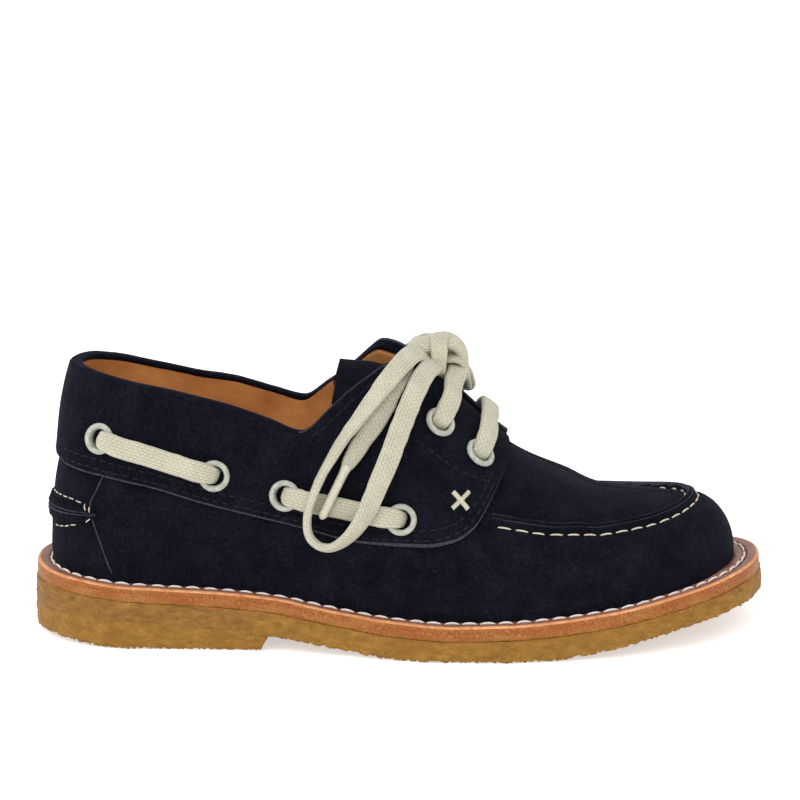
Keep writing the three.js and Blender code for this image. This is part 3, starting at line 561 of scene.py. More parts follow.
class Look:
    """A material being made: its node tree with short ways to add the usual nodes."""

    def __init__(self, name, color, roughness, **sockets):
        self.material = bpy.data.materials.new(name)
        self.material.use_nodes = True
        self.tree = self.material.node_tree
        self.shader = self.tree.nodes["Principled BSDF"]
        self.shader.inputs["Base Color"].default_value = (*color, 1)
        self.shader.inputs["Roughness"].default_value = roughness
        for socket, value in sockets.items():
            self.shader.inputs[socket.replace("_", " ")].default_value = value
        self.material.diffuse_color = (*color, 1)
        self.place = self.tree.nodes.new("ShaderNodeTexCoord").outputs["Object"]

    def node(self, kind, **inputs):
        made = self.tree.nodes.new("ShaderNode" + kind)
        for name, value in inputs.items():
            self.put(made, name.replace("_", " "), value)
        return made

    def put(self, node, name, value):
        socket = node.inputs[int(name[1:])] if name[0] == "#" else node.inputs[name]
        if isinstance(value, bpy.types.NodeSocket):
            self.tree.links.new(value, socket)
        else:
            socket.default_value = value

    def set(self, name, value):
        self.put(self.shader, name, value)

    def stretch(self, x, y, z):
        """The object's own coordinates, stretched."""
        mapping = self.node("Mapping", Vector=self.place)
        mapping.inputs["Scale"].default_value = (x, y, z)
        return mapping.outputs["Vector"]

    def noise(self, size, detail=2.0, vector=None, roughness=0.5):
        """Noise with lumps of that many millimetres, 0 to 1."""
        made = self.node("TexNoise", Vector=vector or self.place, Scale=1 / (size * MM), Detail=detail)
        made.inputs["Roughness"].default_value = roughness
        return made.outputs["Fac"]

    def steps(self, value, *stops):
        """A colour ramp from (position, colour or grey) stops."""
        made = self.tree.nodes.new("ShaderNodeValToRGB")
        ramp = made.color_ramp
        while len(ramp.elements) < len(stops):
            ramp.elements.new(0.5)
        for element, (position, color) in zip(ramp.elements, stops):
            element.position = position
            element.color = (*color, 1) if isinstance(color, tuple) else (color, color, color, 1)
        self.tree.links.new(value, made.inputs["Fac"])
        return made.outputs["Color"]

    def over(self, color, value, low, high, amount, other):
        """The colour with another laid over it where the value is high."""
        return self.mix(self.steps(value, (low, 0.0), (high, amount)), color, other)

    def mix(self, factor, a, b, way="MIX"):
        made = self.tree.nodes.new("ShaderNodeMix")
        made.data_type = "RGBA"
        made.blend_type = way
        for index, value in ((0, factor), (6, a), (7, b)):
            if isinstance(value, bpy.types.NodeSocket):
                self.tree.links.new(value, made.inputs[index])
            else:
                made.inputs[index].default_value = value if index == 0 else (*value, 1)
        return made.outputs[2]

    def math(self, operation, a, b=0.0):
        made = self.tree.nodes.new("ShaderNodeMath")
        made.operation = operation
        self.put(made, "#0", a)
        self.put(made, "#1", b)
        return made.outputs[0]

    def bump(self, *layers):
        """Bumps one over the other, each (height, strength, depth in millimetres)."""
        normal = None
        for height, strength, depth in layers:
            made = self.node("Bump", Height=height, Strength=strength, Distance=depth * MM)
            if normal is not None:
                self.tree.links.new(normal, made.inputs["Normal"])
            normal = made.outputs["Normal"]
        self.set("Normal", normal)

    def finish(self, color, *layers):
        """The finished material, with its colour and bumps."""
        self.set("Base Color", color)
        self.bump(*layers)
        return self.material


def suede_look():
    sheen = {"Sheen_Weight": 0.05, "Sheen_Roughness": 0.4, "Sheen_Tint": (0.40, 0.42, 0.60, 1)}
    look = Look("suede", (0.007, 0.007, 0.013), 0.95, Specular_IOR_Level=0.05, **sheen)
    mottle = look.noise(9, 4, roughness=0.62)
    nap = look.noise(0.9, 3, roughness=0.7)
    ground = look.steps(mottle, (0.30, (0.0030, 0.0032, 0.0056)), (0.72, (0.0078, 0.0082, 0.0140)))
    flecks = look.steps(nap, (0.40, (0.6, 0.6, 0.6)), (0.75, (1.7, 1.7, 1.8)))
    color = look.mix(1.0, ground, flecks, "MULTIPLY")
    color = look.over(color, look.noise(0.55, 1), 0.75, 0.82, 1.0, (0.03, 0.031, 0.045))
    folds, fuzz = look.noise(3.2, 3), look.noise(0.35, 3, roughness=0.7)
    return look.finish(color, (folds, 0.35, 0.6), (fuzz, 0.55, 0.22))


def suede_edge_look():
    look = Look("suede_edge", (0.035, 0.037, 0.055), 0.95, Specular_IOR_Level=0.1)
    grain = look.noise(0.5, 3, roughness=0.7)
    color = look.steps(grain, (0.32, (0.011, 0.012, 0.020)), (0.68, (0.070, 0.073, 0.098)))
    return look.finish(color, (look.noise(0.4, 2), 0.5, 0.2))


def lining_look():
    look = Look("lining", (0.60, 0.29, 0.11), 0.55, Specular_IOR_Level=0.35)
    tone = look.noise(14, 4, roughness=0.6)
    fine = look.noise(1.1, 3, roughness=0.65)
    color = look.steps(tone, (0.3, (0.46, 0.17, 0.045)), (0.7, (0.76, 0.35, 0.115)))
    color = look.over(color, fine, 0.35, 0.75, 0.30, (0.34, 0.13, 0.040))
    return look.finish(color, (fine, 0.3, 0.12), (look.noise(0.4, 2), 0.2, 0.05))


def welt_look():
    look = Look("welt_leather", (0.24, 0.075, 0.034), 0.42, Specular_IOR_Level=0.4)
    tone = look.noise(7, 4, roughness=0.65)
    pores = look.noise(0.5, 3, roughness=0.7)
    color = look.steps(tone, (0.3, (0.19, 0.075, 0.047)), (0.72, (0.34, 0.165, 0.115)))
    color = look.over(color, pores, 0.55, 0.7, 0.4, (0.13, 0.045, 0.028))
    return look.finish(color, (pores, 0.35, 0.1))


def groove_look():
    look = Look("welt_groove", (0.10, 0.018, 0.008), 0.6)
    grain = look.noise(0.8, 3)
    color = look.steps(grain, (0.3, (0.055, 0.010, 0.006)), (0.7, (0.17, 0.035, 0.015)))
    return look.finish(color, (grain, 0.4, 0.15))


def bevel_look():
    """The pale band along the top of the leather edge."""
    look = Look("leather_bevel", (0.62, 0.27, 0.10), 0.38, Specular_IOR_Level=0.45)
    long_grain = look.noise(2.2, 5, roughness=0.7)
    color = look.steps(long_grain, (0.30, (0.44, 0.135, 0.045)), (0.62, (0.74, 0.345, 0.135)))
    color = look.over(color, look.noise(13, 3), 0.45, 0.75, 0.55, (0.42, 0.10, 0.032))
    return look.finish(color, (look.noise(0.5, 3, roughness=0.7), 0.45, 0.14))


def leather_edge_look():
    """The grainy orange-red edge of the midsole."""
    look = Look("leather_edge", (0.29, 0.09, 0.016), 0.5, Specular_IOR_Level=0.25)
    grain = look.noise(0.62, 5, roughness=0.8)
    color = look.steps(
        grain, (0.34, (0.13, 0.024, 0.006)), (0.50, (0.29, 0.090, 0.016)), (0.66, (0.52, 0.25, 0.070))
    )
    patches = look.noise(9, 4, roughness=0.65)
    tan = look.noise(5, 3, look.stretch(0.5, 0.5, 1.6))
    color = look.over(color, patches, 0.36, 0.66, 0.75, (0.27, 0.064, 0.010))
    color = look.over(color, tan, 0.45, 0.7, 0.6, (0.35, 0.155, 0.030))
    return look.finish(color, (grain, 0.6, 0.22), (look.noise(0.3, 2), 0.3, 0.08))


def crepe_look():
    glow = {"Subsurface_Weight": 0.12, "Subsurface_Radius": (0.003, 0.0015, 0.0005)}
    look = Look("crepe", (0.27, 0.132, 0.017), 0.62, Specular_IOR_Level=0.22, **glow)
    strata = look.noise(2.4, 5, look.stretch(0.6, 0.6, 1.5), roughness=0.68)
    dark, plain, light = (0.17, 0.075, 0.010), (0.27, 0.132, 0.017), (0.36, 0.20, 0.034)
    color = look.steps(strata, (0.30, dark), (0.52, plain), (0.74, light))
    color = look.over(color, look.noise(13, 3), 0.35, 0.75, 0.6, (0.22, 0.095, 0.012))
    color = look.over(color, look.noise(6, 4, roughness=0.7), 0.55, 0.75, 0.45, (0.35, 0.20, 0.045))
    crumbs = look.noise(0.8, 5, roughness=0.8)
    color = look.over(color, crumbs, 0.56, 0.70, 0.55, (0.42, 0.26, 0.060))
    dirt = look.noise(1.7, 2, roughness=0.6)
    color = look.over(color, dirt, 0.715, 0.76, 0.85, (0.055, 0.022, 0.008))
    return look.finish(color, (strata, 0.4, 0.5), (crumbs, 0.6, 0.35), (look.noise(0.35, 2), 0.35, 0.1))


def heel_crepe_look():
    """The browner crepe of the upper layer over the heel."""
    look = Look("heel_crepe", (0.32, 0.16, 0.04), 0.65, Specular_IOR_Level=0.3)
    strata = look.noise(2.4, 5, look.stretch(0.6, 0.6, 1.6), roughness=0.68)
    dark, plain, light = (0.14, 0.058, 0.008), (0.23, 0.103, 0.014), (0.31, 0.155, 0.028)
    color = look.steps(strata, (0.30, dark), (0.52, plain), (0.74, light))
    crumbs = look.noise(1.0, 4, roughness=0.75)
    color = look.over(color, crumbs, 0.56, 0.72, 0.5, (0.42, 0.25, 0.10))
    dirt = look.noise(1.6, 2, roughness=0.6)
    color = look.over(color, dirt, 0.71, 0.75, 0.85, (0.05, 0.02, 0.008))
    return look.finish(color, (strata, 0.4, 0.5), (crumbs, 0.6, 0.35))


def enamel_look():
    look = Look("eyelet_enamel", (0.37, 0.38, 0.32), 0.42, Specular_IOR_Level=0.45)
    rub = look.noise(1.6, 4, roughness=0.7)
    look.set("Base Color", look.steps(rub, (0.34, (0.27, 0.28, 0.235)), (0.66, (0.46, 0.47, 0.40))))
    look.set("Roughness", look.steps(rub, (0.3, 0.34), (0.7, 0.52)))
    look.bump((look.noise(0.7, 3), 0.2, 0.06))
    return look.material


def cotton_look():
    """Flat braid: columns of strands that slant in turn left and right, with painted shade in the small gaps
    between them and on their rounded sides.
    """
    ecru = (0.51, 0.487, 0.385)
    look = Look("lace_cotton", ecru, 0.95, Specular_IOR_Level=0.08, Sheen_Weight=0.2, Sheen_Roughness=0.5)
    lay = look.node("UVMap")
    lay.uv_map = "lay"
    parts = look.node("SeparateXYZ", Vector=lay.outputs["UV"])
    along = look.math("MULTIPLY", parts.outputs["Y"], 1 / BRAID_PITCH)
    column = look.math("MULTIPLY", parts.outputs["X"], 1 / BRAID_COLUMN)
    inside = look.math("FRACT", column)
    odd = look.math("MODULO", look.math("FLOOR", column), 2.0)
    lean = look.math("SUBTRACT", look.math("MULTIPLY", odd, 2.0), 1.0)
    shifted = look.math("ADD", along, look.math("MULTIPLY", look.math("MULTIPLY", inside, lean), 0.6))
    strand = look.math("ABSOLUTE", look.math("SINE", look.math("MULTIPLY", shifted, math.pi)))
    round_strand = look.math("POWER", strand, 0.55)
    round_column = look.math("POWER", look.math("SINE", look.math("MULTIPLY", inside, math.pi)), 0.5)
    weave = look.math("MULTIPLY", round_strand, round_column)
    tone = look.noise(5, 3, roughness=0.6)
    fibre = look.noise(0.3, 4, roughness=0.75)
    light, dark = (tuple(c * k for c in ecru) for k in (1.08, 0.92))
    ground = look.steps(tone, (0.3, dark), (0.7, light))
    # Painted shade and highlight: the braid's colour darkens in the gaps between strands and down their
    # rounded sides, and lightens a little on their crowns.
    weave_shade = look.steps(weave, (0.10, (0.66, 0.64, 0.60)), (0.50, (0.96, 0.95, 0.94)), (0.8, 1.04))
    shade = look.steps(fibre, (0.30, (0.76, 0.75, 0.72)), (0.6, 1.05))
    color = look.mix(1.0, look.mix(1.0, ground, weave_shade, "MULTIPLY"), shade, "MULTIPLY")
    return look.finish(color, (weave, 0.5, 0.16), (fibre, 0.55, 0.13))


def thread_look(name, color):
    look = Look(name, color, 0.7, Specular_IOR_Level=0.25)
    ply = look.noise(0.35, 3, roughness=0.7)
    light, dark = (tuple(min(1, c * k) for c in color) for k in (1.12, 0.62))
    return look.finish(look.steps(ply, (0.3, dark), (0.62, light)), (ply, 0.5, 0.12))


def floor_look():
    """A white studio table that glows a little, so that shadows on it stay faint."""
    look = Look("floor", (0.80, 0.80, 0.80), 0.9, Specular_IOR_Level=0.05, Emission_Strength=0.5)
    look.set("Base Color", look.steps(look.noise(300, 2), (0.2, 0.79), (0.8, 0.81)))
    look.set("Emission Color", (1, 1, 1, 1))
    return look.material


BRAID_COLUMN = 1.06
BRAID_PITCH = 1.5

SUEDE, SUEDE_EDGE, LINING = suede_look(), suede_edge_look(), lining_look()
WELT, GROOVE, BEVEL, LEATHER_EDGE = welt_look(), groove_look(), bevel_look(), leather_edge_look()
CREPE, HEEL_CREPE = crepe_look(), heel_crepe_look()
ENAMEL, COTTON = enamel_look(), cotton_look()
WHITE_THREAD = thread_look("white_thread", (0.80, 0.70, 0.65))
ECRU_THREAD = thread_look("ecru_thread", (0.60, 0.55, 0.42))
NAVY_THREAD = thread_look("navy_thread", (0.005, 0.0055, 0.010))
AGLET_THREAD = thread_look("aglet_thread", (0.62, 0.59, 0.47))


# Slot names that several pieces pass to own().
COTTON_SLOT, SUEDE_SLOT, LINING_SLOT = "lace_cotton", "suede", "insole_leather"


def own(piece, slot, *nodes):
    """The piece rides on the shoe and stands for those CAD nodes, which it hides; slot is not used."""
    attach(piece, "root")
    if nodes:
        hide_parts(*nodes)
    return piece


# ---------------------------------------------------------------- the flat lace

LACE_WIDTH, LACE_THICK = 6.0, 2.4
SECTION, LACE_STEP = 32, 0.45
# Round the lace its pattern is this many millimetres wide, a whole number of columns.
LACE_GIRTH = 16 * BRAID_COLUMN


def swept(line, across, up, a, b):
    """Rings of points round a line, each a millimetres across and b millimetres up from it."""
    return line[:, None] + across[:, None] * a[..., None] + up[:, None] * b[..., None]


def ribbon(name, rows):
    """A braided flat lace. Rows are x, y, z, the face's direction x, y, z, width and thickness."""
    line = spline(rows, LACE_STEP)
    place, face = line[:, :3], line[:, 3:6]
    width, thick = line[:, 6], line[:, 7]
    along = unit(np.gradient(place, axis=0))
    out = unit(face - along * np.sum(face * along, -1)[:, None])
    across = np.cross(out, along)
    turn = np.linspace(0, 2 * np.pi, SECTION, endpoint=False)
    a = np.sign(np.cos(turn)) * np.abs(np.cos(turn)) ** 0.62
    o = np.sign(np.sin(turn)) * np.abs(np.sin(turn)) ** 0.72
    gone = np.arange(len(line)) * LACE_STEP
    arc = np.concatenate([[0], np.cumsum(np.hypot(np.diff(a) * 3.0, np.diff(o) * 1.2))])
    share = arc / (arc[-1] + np.hypot((a[0] - a[-1]) * 3.0, (o[0] - o[-1]) * 1.2))
    spread = np.stack(np.broadcast_arrays(gone[:, None], share[None, :] * 17, 0.0), -1)
    seam = np.exp(-(((np.abs(a) - 0.56) / 0.10) ** 2))
    lump = 0.12 * noise(spread, 2.5, 7) - 0.10 * seam[None, :]
    points = swept(place, across, out, a * (width[:, None] / 2 + lump), o * (thick[:, None] / 2 + lump))
    around = np.append(share, 1.0) * LACE_GIRTH
    return loft(name, points, [COTTON], caps=True, uv=(gone[-1], around))


def lace_rows(rows, thick=LACE_THICK):
    """Rows of a ribbon from (place, face) or (place, face, width, thick)."""
    return [(*place, *face, *(size or (LACE_WIDTH, thick))) for place, face, *size in rows]


# The free laces by their middle lines: place, and how far the face is turned about the lace from
# looking out (0) to being on edge (90).
LOOP_LATERAL = [
    (7.5, -5.5, 80.9, 0), (5.3, -10.6, 82.7, 0), (3.2, -15.4, 83.1, 5), (0.0, -21.2, 81.2, 10),
    (-4.2, -26.6, 77.0, 25), (-9.1, -29.6, 71.0, 50), (-16.8, -33.8, 61.2, 75),
    (-23.0, -36.8, 50.6, 85), (-26.1, -38.2, 41.8, 90), (-25.9, -38.6, 36.0, 90),
    (-23.2, -39.0, 32.8, 85), (-19.4, -39.4, 32.2, 75), (-14.4, -40.6, 35.6, 60),
    (-10.3, -42.0, 41.4, 40), (-6.5, -40.4, 49.7, 20), (-2.7, -38.2, 58.7, 10), (0.6, -33.6, 66.8, 5),
    (4.0, -26.6, 73.8, 0), (7.0, -18.6, 78.2, 0), (9.0, -12.0, 79.0, 0), (10.2, -6.5, 79.2, 0),
]
LOOP_MEDIAL = [
    (10.0, 4.0, 83.0, 0), (10.0, 12.2, 82.6, 0), (7.0, 18.8, 80.6, 10), (1.6, 25.4, 75.2, 30),
    (-4.4, 29.8, 68.0, 50), (-12.0, 33.4, 58.8, 75), (-17.6, 35.2, 50.2, 85), (-20.4, 36.2, 42.8, 90),
    (-20.2, 36.6, 37.4, 90), (-17.4, 37.0, 34.2, 85), (-13.4, 37.4, 33.9, 75), (-8.6, 37.8, 37.2, 60),
    (-3.6, 38.4, 43.4, 40), (1.6, 37.6, 50.8, 20), (7.4, 34.2, 57.4, 10), (12.8, 30.0, 63.2, 5),
    (17.2, 23.6, 67.2, 0), (19.3, 16.8, 68.4, 0), (19.3, 11.0, 70.4, 0), (18.5, 5.6, 74.0, 0),
    (17.0, 1.6, 77.2, 0),
]
END_LATERAL = [
    (6.5, -6.0, 79.4, 0), (2.3, -11.2, 81.4, 0), (0.6, -17.8, 79.4, 0), (-2.1, -24.2, 75.3, 0),
    (-5.6, -28.4, 68.8, 0), (-9.6, -30.8, 63.0, 0), (-13.2, -33.0, 57.6, 0), (-15.2, -34.2, 54.4, 0),
]
END_MEDIAL = [
    (10.5, 4.0, 79.0, 0), (11.4, 11.8, 77.9, 0), (9.6, 18.2, 76.2, 0), (7.6, 23.8, 70.6, 0),
    (3.6, 27.6, 64.8, 0), (-0.4, 30.4, 59.2, 0), (-3.4, 31.9, 54.8, 0),
]
AGLET_LATERAL = [(-15.0, -34.2, 54.8), (-18.8, -36.0, 47.2), (-22.4, -37.4, 40.0)]
AGLET_MEDIAL = [(-3.2, 31.9, 55.2), (-8.1, 33.9, 47.6), (-12.2, 35.6, 41.2)]


def free_face(place, along, turn, side):
    """Where a free lace looks: out from the shoe, more upwards near the knot, turned about itself."""
    lean = smooth(56, 84, place[2])
    out = np.array([0.4 * lean, (1 - 0.3 * lean) * side, 0.1 + 0.7 * lean])
    out /= np.linalg.norm(out)
    angle = math.radians(-side * turn)
    along = along / np.linalg.norm(along)
    c, s = math.cos(angle), math.sin(angle)
    return out * c + np.cross(along, out) * s + along * np.dot(along, out) * (1 - c)


def free_rows(rows, side, taper=None):
    """Rows of a ribbon for a free lace; taper gives width and thickness of the last ones."""
    places = np.array([row[:3] for row in rows], float)
    alongs = np.gradient(places, axis=0)
    made = []
    for i, (place, along, row) in enumerate(zip(places, alongs, rows)):
        width, thick = LACE_WIDTH, LACE_THICK
        if taper and i >= len(rows) - len(taper):
            width, thick = taper[i - len(rows) + len(taper)]
        made.append((*place, *free_face(place, along, row[3], side), width, thick))
    return made


def declare_cord(rows):
    """Finds a smooth line through the places of a free lace; the line is not kept."""
    line = spline([row[:3] for row in rows], 0.25)


def aglet(name, places):
    """A lace tip wound with thread: close turns round a thin core, rounded at its end."""
    step = 0.12
    line = spline(places, step)
    along = unit(np.gradient(line, axis=0))
    side = unit(np.cross(along, [0.0, 1.0, 0.0]))
    up = np.cross(along, side)
    turn = np.linspace(0, 2 * np.pi, 28, endpoint=False)
    gone = np.arange(len(line)) * step
    length = gone[-1]
    radius = 1.22 * np.minimum(1, np.sqrt(np.clip((length - gone) / 1.1, 0.02, 1)))
    radius = radius + 0.30 * (1 - smooth(0, 3.0, gone))
    coil = 0.09 * np.abs(np.sin(np.pi * (gone[:, None] / 0.62 + turn[None, :] / np.pi / 2)))
    r = radius[:, None] + coil
    return loft(name, swept(line, side, up, np.cos(turn) * r, np.sin(turn) * r), [AGLET_THREAD], caps=True)


def free_laces():
    """The two loops of the bow and the two ends with their wound tips."""
    squeeze = [(5.6, 2.4), (4.8, 2.5), (3.4, 2.8)]
    for name, side, loop, end, tip in (
        ("lateral", LATERAL, LOOP_LATERAL, END_LATERAL, AGLET_LATERAL),
        ("medial", MEDIAL, LOOP_MEDIAL, END_MEDIAL, AGLET_MEDIAL),
    ):
        rows = free_rows(loop, side)
        bow = own(ribbon(f"bow_loop_{name}", rows), COTTON_SLOT, f"lace_loop_{name}")
        declare_cord(rows)
        tip_piece = own(aglet(f"lace_tip_{name}", tip), "aglet_wrap", f"aglet_{name}")
        rows = free_rows(end, side, squeeze)
        tail = own(ribbon(f"bow_end_{name}", rows), COTTON_SLOT, f"lace_end_{name}")
        declare_cord(rows)


# Strands of the knot: place, the way the face looks, and width and thickness where they differ.
KNOT_OVER = [
    ((4.2, 2.4, 79.6), (-0.8, 0.0, 0.5)),
    ((2.9, -1.0, 82.2), (-0.6, -0.4, 0.8)),
    ((4.3, -4.0, 84.2), (-0.2, -0.6, 0.8)),
    ((6.9, -5.0, 84.4), (0.0, -0.6, 0.8)),
    ((9.6, -5.0, 84.4), (0.1, -0.6, 0.8)),
    ((12.6, -4.5, 85.2), (0.0, -0.55, 0.85)),
    ((14.9, -4.0, 85.0), (0.2, -0.6, 0.8)),
    ((17.0, -2.5, 83.2), (0.6, -0.5, 0.65)),
    ((18.4, -1.0, 80.5), (0.9, -0.35, 0.4)),
    ((19.0, 1.2, 77.0), (1.0, -0.2, 0.2)),
    ((19.3, 4.4, 73.6), (1.0, 0.0, 0.3)),
    ((19.3, 8.6, 70.6), (0.9, 0.2, 0.5)),
]
KNOT_BAND = [
    ((12.2, 4.0, 83.2), (0.0, 0.6, 1.0)),
    ((11.8, -2.0, 86.4), (-0.1, -0.3, 1.0)),
    ((11.3, -6.7, 85.4), (-0.05, -0.75, 0.7), 5.2, 2.4),
    ((11.3, -9.0, 82.0), (0.0, -1.0, 0.3), 4.6, 2.5),
    ((11.2, -9.4, 79.4), (0.0, -1.0, 0.0), 4.3, 2.5),
    ((10.9, -8.2, 76.9), (0.0, -0.9, -0.5), 4.4, 2.5),
    ((10.6, -4.0, 75.2), (0.0, -0.3, -1.0)),
    ((10.8, 2.0, 75.0), (0.0, 0.1, -1.0)),
    ((11.2, 7.0, 77.2), (0.0, 0.8, -0.5)),
    ((12.0, 8.2, 80.2), (0.0, 1.0, 0.2)),
    ((12.3, 6.4, 82.8), (0.0, 0.8, 0.7)),
]
KNOT_INNER = [
    ((9.0, -2.4, 79.0), (-0.1, -0.1, 1.0)),
    ((11.5, -3.0, 79.3), (-0.2, -0.2, 1.0)),
    ((13.3, -3.3, 80.0), (-0.2, -0.2, 1.0)),
    ((15.2, -3.4, 80.3), (0.1, -0.2, 1.0)),
    ((17.0, -2.6, 79.7), (0.5, -0.2, 0.9)),
    ((18.3, -1.2, 77.8), (0.9, -0.2, 0.5)),
    ((18.8, 1.5, 75.2), (1.0, 0.0, 0.1)),
]
KNOT_UNDER = [
    ((4.4, 4.0, 80.6), (-0.8, 0.6, 0.2)),
    ((7.0, 0.6, 78.2), (-0.4, -0.5, -0.5)),
    ((11.0, -1.0, 77.4), (0.0, -0.6, -0.6)),
    ((15.4, 1.0, 78.6), (0.4, -0.3, 0.3)),
    ((17.0, 5.0, 80.0), (0.6, 0.5, 0.5)),
]


def knot():
    """The tied part of the bow: the lace over the top, the band round the middle, and what it holds."""
    strands = {"over": KNOT_OVER, "band": KNOT_BAND, "inner": KNOT_INNER, "under": KNOT_UNDER}
    pieces = [
        ribbon(f"knot_{name}", lace_rows(rows, 1.9 if name == "inner" else LACE_THICK))
        for name, rows in strands.items()
    ]
    own(join("bow_knot", pieces), COTTON_SLOT, "lace_knot")


def eyelet_frame(name, side):
    """Where an eyelet's ring sits, pressed into the panel, and the way it looks."""
    point, normal = FRAMES[name, side]
    return point - 0.5 * normal, normal


# A lace in an eyelet: how high above the ring's middle, how far along its way, width and thickness.
BAR_ENDS = ((-2.4, 0.4, 4.8, 3.6), (-1.0, 0.3, 4.9, 3.6), (1.2, 0.9, 5.3, 3.0))
CLIMB_ENDS = ((-2.4, 0.1, 4.8, 3.6), (-1.0, 0.2, 5.0, 3.5), (1.2, 0.8, 5.3, 3.0))


def rising(middle, normal, way, ends):
    """Rows of a lace that comes up through an eyelet and leans its way."""
    return [
        (*(middle + normal * height + way * shift), *normal, width, thick)
        for height, shift, width, thick in ends
    ]


def side_bar(name, start, end, side):
    """A lace that comes up through one eyelet, lies along the panel and goes down the next."""
    first, first_normal = eyelet_frame(start, side)
    last, end_normal = eyelet_frame(end, side)
    (x0, z0), (x1, z1) = EYELETS[start], EYELETS[end]
    reach = 1.4 / math.hypot(x1 - x0, z1 - z0)
    share = np.array([0.13, 0.22, 0.36, 0.5, 0.64, 0.78, 0.87])
    lift = np.array([2.75, 2.7, 2.35, 2.3, 2.35, 2.7, 2.75])
    points, normals = on_panel(x0 + (x1 - x0) * share, z0 + (z1 - z0) * share, side, lift)
    rows = rising(first, first_normal, (last - first) * reach, BAR_ENDS)
    rows += lace_rows(zip(points, normals))
    rows += rising(last, end_normal, (first - last) * reach, BAR_ENDS)[::-1]
    return ribbon(name, rows)


def climb_rows(name, side, forward, lifts):
    """A lace that comes up through a front eyelet and climbs the panel."""
    middle, normal = eyelet_frame(name, side)
    x, z = EYELETS[name]
    up_point, _ = on_panel(x + forward * 3, z + 3, side)
    rises, lifts = np.array(lifts).T
    points, faces = on_panel(x + forward * rises, z + rises, side, lifts)
    return rising(middle, normal, unit(up_point - middle), CLIMB_ENDS) + lace_rows(zip(points, faces))


RISER_TOPS = {
    LATERAL: [
        ((15.4, -9.9, 73.6), (0.35, -0.85, 0.4)),
        ((16.5, -6.4, 76.0), (0.3, -0.7, 0.6)),
        ((16.8, -2.4, 77.2), (0.2, -0.4, 0.9)),
    ],
    MEDIAL: [((13.0, 12.0, 75.6), (0.4, 0.6, 0.7)), ((11.4, 7.0, 77.6), (0.2, 0.4, 0.9))],
}


def riser(side, name):
    """The lace from a top eyelet up to the knot."""
    rows = climb_rows("top", side, 0.40, ((2.4, 2.7), (5.2, 2.4)))
    rows += lace_rows(RISER_TOPS[side])
    return ribbon(name, rows)


def cross_bar():
    """The lace over the throat from one front eyelet to the other."""
    lifts = ((2.4, 2.6), (4.8, 2.3), (6.4, 2.0))
    near = climb_rows("front", LATERAL, 0.25, lifts)
    far = climb_rows("front", MEDIAL, 0.25, lifts)
    over = [
        ((26.4, y, 65.0 - 0.02 * (y - 1.7) ** 2), (0.8, 0.05 * (y - 1.7), 1.0))
        for y in (-3.4, 1.7, 6.8)
    ]
    return ribbon("cross_lace", near + lace_rows(over) + far[::-1])


def held_laces():
    """The laces that the eyelets hold: the side bars, the two risers and the bar over the throat."""
    for name, side in SIDES:
        for row, start, end in (("rear", "heel", "rear"), ("waist", "waist", "ball")):
            bar = side_bar(f"side_lace_{name}_{row}", start, end, side)
            own(bar, COTTON_SLOT, f"lace_bar_{name}_{row}")
        own(riser(side, f"lace_climb_{name}"), COTTON_SLOT, f"lace_riser_{name}")
    own(cross_bar(), COTTON_SLOT, "lace_cross_bar")


# ---------------------------------------------------------------- the sole

def round_turns(count, closed=False):
    """Angles once round the outline from the toe, along the lateral side first."""
    angles = -np.linspace(0, 2 * np.pi, count, endpoint=closed)
    return np.where(angles < -np.pi, angles + 2 * np.pi, angles)


TURNS = round_turns(900)
# How far a layer stands in from the edge of the leather, at the heel, the sides and the toe.
LEATHER_INSET = np.array([0.0, 0.0, 0.0])
CREPE_INSET = np.array([-0.4, -0.9, -0.8])


def welt_low(x):
    """The height of the underside of the welt; the layers below follow it down."""
    return welt_top(x) - WELT_THICK


def midsole_top(x):
    return welt_low(x) - GAP


def midsole_low(x):
    return midsole_top(x) - MIDSOLE_THICK


def crepe_top(x):
    return midsole_low(x) - GAP


def sole_section(inset, rows):
    """Rings of the sole: rows are (extra inset, height function, lift) from inside to inside."""
    rings = []
    for extra, height, lift in rows:
        x, y = outline(TURNS, tuple(inset + extra))
        rings.append(np.stack([x, y, height(x) + lift], -1))
    return np.stack(rings, 1)


def edge_normals(points):
    """Level directions pointing out of a closed ring of sole points."""
    along = np.roll(points, -1, axis=0) - np.roll(points, 1, axis=0)
    out = np.stack([along[..., 1], -along[..., 0], np.zeros(along.shape[:-1])], -1)
    return unit(out) * -np.sign(np.sum(out[..., 0] * points[..., 0]))


def welt():
    """The welt: flat on top, with a groove for the stitches and a pale bevelled rim."""
    top, low = welt_top, welt_low
    rows = [
        (8.2, low, 0.0), (8.2, top, 0.0), (6.4, top, 0.05), (5.2, top, 0.05), (4.85, top, -0.1),
        (4.5, top, -0.4), (4.1, top, -0.5), (3.7, top, -0.45), (3.4, top, -0.15), (3.1, top, 0.02),
        (2.2, top, 0.05), (1.4, top, 0.05), (0.95, top, 0.0), (0.6, top, -0.12), (0.32, top, -0.32),
        (0.12, top, -0.6), (0.02, top, -0.9), (0.0, low, 0.3), (0.0, low, 0.0), (0.0, low, -GAP),
        (1.5, low, -GAP),
    ]
    points = sole_section(LEATHER_INSET, rows)
    points[..., 2] += 0.10 * rough(points * [1, 1, 0], 9, 2, 21)
    near_wall = smooth(2.5, 0, np.array([row[0] for row in rows]))
    points += edge_normals(points) * (leather_wall(points) * near_wall)[..., None]
    bands = np.array([0] * 4 + [1] * 4 + [0] * 4 + [2] * 3 + [3] * 6)
    piece = loft("welt_strip", points, [WELT, GROOVE, BEVEL, LEATHER_EDGE], wrap_u=True, bands=bands)
    own(piece, "welt_leather", "welt")


def leather_wall(points):
    """The unevenness of the sanded leather edge, the same for the welt and the midsole below it."""
    return 0.12 * rough(points * [1, 1, 1.6], 2.4, 3, 31) + 0.20 * noise(points * [1, 1, 0.3], 15, 32)


